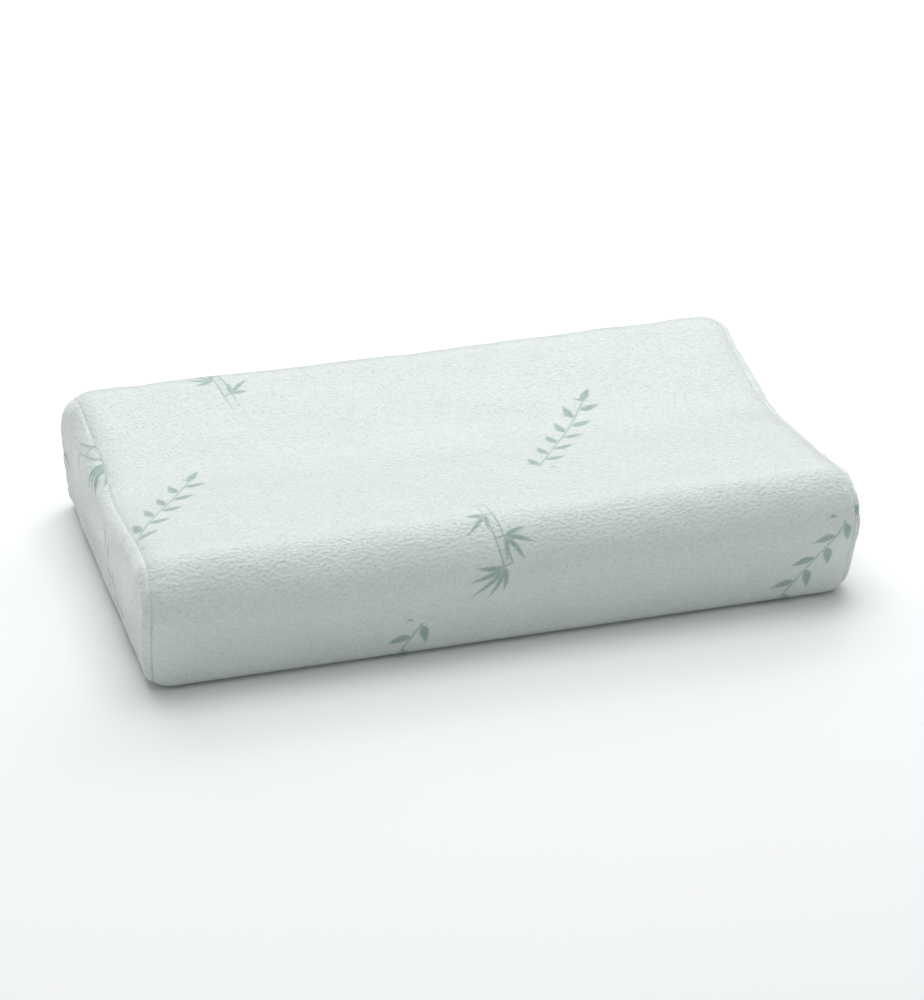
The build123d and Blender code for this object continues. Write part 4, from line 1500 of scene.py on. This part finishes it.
# ---- The zip ---------------------------------------------------------------------------------------------
@dataclass
class CoilZip:
    """The closed coil zip along the back: tapes, coils, topstitching, bartacks, slider and pull tab."""

    form: PillowForm
    wardrobe: Wardrobe
    coil_pitch: float = 1.45 * MM
    strand: float = 0.42 * MM
    overlap: float = 0.55 * MM  # how far a coil's heads reach past the zip's middle line
    stitch_pitch: float = 3.1 * MM
    hem_edge: float = 6.5 * MM  # from the zip's middle line to a hem's folded edge
    bartack_points: int = 24  # points along a bartack's path

    def build(self) -> None:
        """Builds and dresses every piece of the zip."""
        self.back = self.form.depth / 2
        for side in ZipSide:
            self._tape(side)
            self._coil(side)
            self._topstitching(side)
        for end in End:
            self._bartack(end)
        for node, body in (("zip_slider", "slider"), ("zip_pull_tab", "pull_tab")):
            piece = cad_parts[node]
            piece.data.materials.clear()
            piece.data.materials.append(self.wardrobe.enamel)
            log.info("%s: rides on %s", node, body)

    def _line(self, low: float, high: float, out: float, z: float) -> tuple[np.ndarray, np.ndarray]:
        """A straight path along the back and its outward directions."""
        ends = np.array([[low, self.back + out, z], [high, self.back + out, z]])
        return ends, np.tile([0.0, 1.0, 0.0], (2, 1))

    def _tape(self, side: ZipSide) -> None:
        """One woven tape, with a faint wave."""
        node = f"zip_tape_{side.name.lower()}"
        low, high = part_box(node)
        x = np.linspace(low.x, high.x, 133)
        z = np.linspace(low.z, high.z, 12)
        grid_x, grid_z = np.meshgrid(x, z, indexing="ij")
        wave = 0.06 * MM * ripples(grid_x, grid_z, 22 * MM, 0.4, 41 + side.value)
        face = np.stack([grid_x, np.full_like(grid_x, high.y) - 0.1 * MM + wave * 0.5, grid_z], -1)
        mesh = grid_mesh(f"{node}_web", face[:, ::-1], face[:, ::-1, ::2] + UV_MARGIN)
        piece = new_object(f"{node}_web", mesh, self.wardrobe.webbing)
        thicken(piece, (high.y - low.y) * 0.8, -1.0)
        dress(piece, node)
        log.info("%s_web: %d faces", node, len(mesh.polygons))

    def _coil(self, side: ZipSide) -> None:
        """One coil, whose heads hook between the other coil's, and the thread that sews it to its tape."""
        node = f"zip_coil_{side.name.lower()}"
        low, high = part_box(node)
        far = high.z if side is ZipSide.UPPER else low.z
        width = abs(far - self.form.zip_height) + self.overlap
        middle = far - side.value * width / 2
        out = (low.y + high.y) / 2 - self.back
        shift = self.coil_pitch / 4 * side.value
        path, up = self._line(low.x + shift, high.x + shift, out, middle)
        turns = RowOfItems(Repeat.COIL_TURN, self.coil_pitch, width, high.y - low.y, self.strand, turn=0.12)
        coil = turns.lay(node, path, up, self.wardrobe.nylon)
        seam_path, up = self._line(low.x, high.x, high.y - self.back - 0.1 * MM, far - side.value * 1.0 * MM)
        sewing = RowOfItems(Repeat.STITCH, self.coil_pitch, 1.6 * MM, 0.1 * MM, 0.14 * MM, turn=0.25)
        thread = sewing.lay(f"{node}_sewing", seam_path, up, self.wardrobe.nylon)
        piece = joined(f"{node}_turns", [coil, thread], self.wardrobe.nylon)
        dress(piece, node)
        log.info("%s_turns: %d faces", node, len(piece.data.polygons))

    def _topstitching(self, side: ZipSide) -> None:
        """The straight stitches in the valley along one hem."""
        node = f"zip_stitching_{side.name.lower()}"
        low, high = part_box(node)
        path, up = self._line(low.x, high.x, low.y - self.back - 0.28 * MM, (low.z + high.z) / 2)
        length = self.stitch_pitch * 0.86
        stitches = RowOfItems(Repeat.STITCH, self.stitch_pitch, length, 0.22 * MM, 0.22 * MM)
        piece = new_object(f"{node}_thread", stitches.lay(node, path, up, self.wardrobe.thread), None)
        dress(piece, node)
        log.info("%s_thread: %d faces", node, len(piece.data.polygons))

    def _bartack(self, end: End) -> None:
        """The block of close stitches across one end of the zip."""
        node = f"zip_bartack_{end.name.lower()}"
        low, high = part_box(node)
        width = high.x - low.x
        threads = RowOfItems(Repeat.STITCH, 0.36 * MM, width, 0.35 * MM, 0.2 * MM, turn=math.pi / 2 - 0.1)
        middle = (low.x + high.x) / 2
        reach = (high.z - low.z) / 2
        base = [-reach, -self.hem_edge, self.hem_edge, reach]
        outs = [1.2 * MM, 0.9 * MM, 0.9 * MM, 1.2 * MM]
        from_middle = np.linspace(-reach, reach, self.bartack_points)
        heights = np.interp(from_middle, base, outs)
        z = self.form.zip_height + from_middle
        path = np.stack([np.full(len(z), middle), self.back + heights, z], -1)
        block = threads.lay(node, path, np.tile([0.0, 1.0, 0.0], (len(z), 1)), self.wardrobe.thread)
        piece = joined(f"{node}_thread", [block], self.wardrobe.thread)
        dress(piece, node)
        log.info("%s_thread: %d faces", node, len(piece.data.polygons))


# ---- The care label --------------------------------------------------------------------------------------
@dataclass
class CareLabel:
    """A blank satin ribbon, folded in two and sewn by its ends into the closing seam."""

    form: PillowForm
    wardrobe: Wardrobe
    layer: float = 0.22 * MM
    bend_length: float = 5.0 * MM  # how much of the ribbon bends when it is lifted

    def build(self) -> None:
        """Builds the ribbon, folded in two, and hides the CAD label."""
        low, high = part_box("care_label")
        back = self.form.depth / 2
        drop = high.z - low.z
        out = (low.y + high.y) / 2 - back
        spread = (high.y - low.y) / 2 - self.layer / 2
        side = np.linspace(0, 1, 24)
        outer = [(out + spread, high.z - drop * 0.97 * t) for t in side]
        turn = [
            (out + spread * math.cos(a), low.z + drop * 0.03 - spread * 1.6 * math.sin(a))
            for a in np.linspace(0, math.pi, 7)[1:-1]
        ]
        inner = [(out - spread, high.z - drop * 0.97 * t) for t in side[::-1]]
        tuck = [(-0.4 * MM, high.z + 0.3 * MM)]
        profile = np.array([*tuck, *outer, *turn, *inner])
        x = np.linspace(low.x + 0.1 * MM, high.x - 0.1 * MM, 19)
        curl = 0.12 * MM * ripples(x[:, None], profile[None, :, 1], 18 * MM, 0.3, 51)
        hang = np.clip((high.z - profile[:, 1]) / drop, 0, 1)[None]
        y = back + profile[None, :, 0] + np.clip(curl, -0.15 * MM, 0.25 * MM) * hang
        points = np.stack(np.broadcast_arrays(x[:, None], y, profile[None, :, 1]), -1)
        length = np.concatenate([[0.0], np.cumsum(np.linalg.norm(np.diff(profile, axis=0), axis=1))])
        cloth = np.stack(np.broadcast_arrays(x[:, None], length[None]), -1) + UV_MARGIN
        mesh = grid_mesh("care_label_ribbon", points[::-1], cloth[::-1])
        piece = new_object("care_label_ribbon", mesh, self.wardrobe.satin)
        thicken(piece, self.layer, 0.0)
        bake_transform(piece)
        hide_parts("care_label")
        log.info("care_label_ribbon: %d faces", len(mesh.polygons))


# ---- The studio ------------------------------------------------------------------------------------------
@dataclass(frozen=True)
class Studio:
    """A pale floor, soft light and the camera."""

    azimuth: float = -16.19  # degrees
    elevation: float = 27.19
    distance: float = 2.402
    aim: tuple[float, float, float] = (0.0, 0.0, 0.045)
    lens: float = 123.66  # millimetres, on a 36 mm long side
    shift: tuple[float, float] = (0.0102, -0.0067)

    def build(self) -> None:
        """Makes the floor, lights, world and camera."""
        self._floor()
        self._camera()
        self._world()
        self._lamp("rear_panel", (0.0, 0.9, 2.3), (0.0, 0.05, 0.0), 2.4, 28.0, (0.985, 0.98, 1.0))
        self._lamp("top_panel", (0.0, 0.0, 2.5), (0.0, 0.0, 0.0), 2.0, 26.5, (0.985, 0.985, 1.0))
        self._lamp("backdrop_panel", (0.5, 3.0, 1.6), (0.0, 0.0, 0.05), 3.2, 36.0, (0.985, 0.99, 1.0))
        self._lamp("right_rear_panel", (1.6, 1.6, 1.4), (0.0, 0.0, 0.05), 1.4, 12.5, (0.99, 0.985, 1.0))
        bpy.context.scene.view_settings.view_transform = "Standard"

    def _floor(self) -> None:
        """The plain pale floor."""
        reach = 9.0
        mesh = bpy.data.meshes.new("studio_floor")
        corners = [(-reach, -reach, 0), (reach, -reach, 0), (reach, reach, 0), (-reach, reach, 0)]
        mesh.from_pydata(corners, [], [(0, 1, 2, 3)])
        material, patch, shader = new_material("studio_floor")
        place = patch.add("ShaderNodeTexCoord").outputs["Object"]
        tone = patch.math("MULTIPLY", patch.noise(place, 3.0), 0.02)
        pale, worn = (0.905, 0.905, 0.905, 1), (0.8, 0.8, 0.8, 1)
        patch.feed(shader.inputs["Base Color"], patch.mix_colour(tone, pale, worn))
        shader.inputs["Roughness"].default_value = 0.9
        new_object("studio_floor", mesh, material)

    def _camera(self) -> None:
        """The camera, seen from the front and a little left of it."""
        a, e = math.radians(self.azimuth), math.radians(self.elevation)
        back = Vector((math.sin(a) * math.cos(e), -math.cos(a) * math.cos(e), math.sin(e)))
        data = bpy.data.cameras.new("studio_camera")
        data.lens, data.sensor_width = self.lens, 36.0
        data.shift_x, data.shift_y = self.shift
        camera = bpy.data.objects.new("studio_camera", data)
        camera.location = Vector(self.aim) + back * self.distance
        camera.rotation_euler = back.to_track_quat("Z", "Y").to_euler()
        bpy.context.scene.collection.objects.link(camera)
        bpy.context.scene.camera = camera

    def _world(self) -> None:
        """An even, pale surround."""
        world = bpy.data.worlds.new("studio_world")
        world.use_nodes = True
        surround = world.node_tree.nodes["Background"]
        surround.inputs["Color"].default_value = (0.93, 1.0, 0.98, 1.0)
        surround.inputs["Strength"].default_value = 0.272
        bpy.context.scene.world = world

    @staticmethod
    def _lamp(
        name: str,
        place: tuple[float, float, float],
        aim: tuple[float, float, float],
        size: float,
        power: float,
        colour: tuple[float, float, float],
    ) -> None:
        """One square soft light."""
        data = bpy.data.lights.new(name, "AREA")
        data.shape = "SQUARE"
        data.size, data.energy, data.color = size, power, colour
        lamp = bpy.data.objects.new(name, data)
        lamp.location = place
        lamp.rotation_euler = (Vector(place) - Vector(aim)).to_track_quat("Z", "Y").to_euler()
        bpy.context.scene.collection.objects.link(lamp)


def main() -> None:
    """Builds the pillow round the frame, then the studio."""
    logging.basicConfig(level=logging.INFO, format="%(name)s: %(message)s")
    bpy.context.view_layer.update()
    form = PillowForm()
    outline = Outline(form)
    wardrobe = Wardrobe()
    FoamAndLiner(form, outline, wardrobe).build()
    FilledCover(form, outline, wardrobe).build()
    CoilZip(form, wardrobe).build()
    CareLabel(form, wardrobe).build()
    Studio().build()


if __name__ == "__main__":
    main()
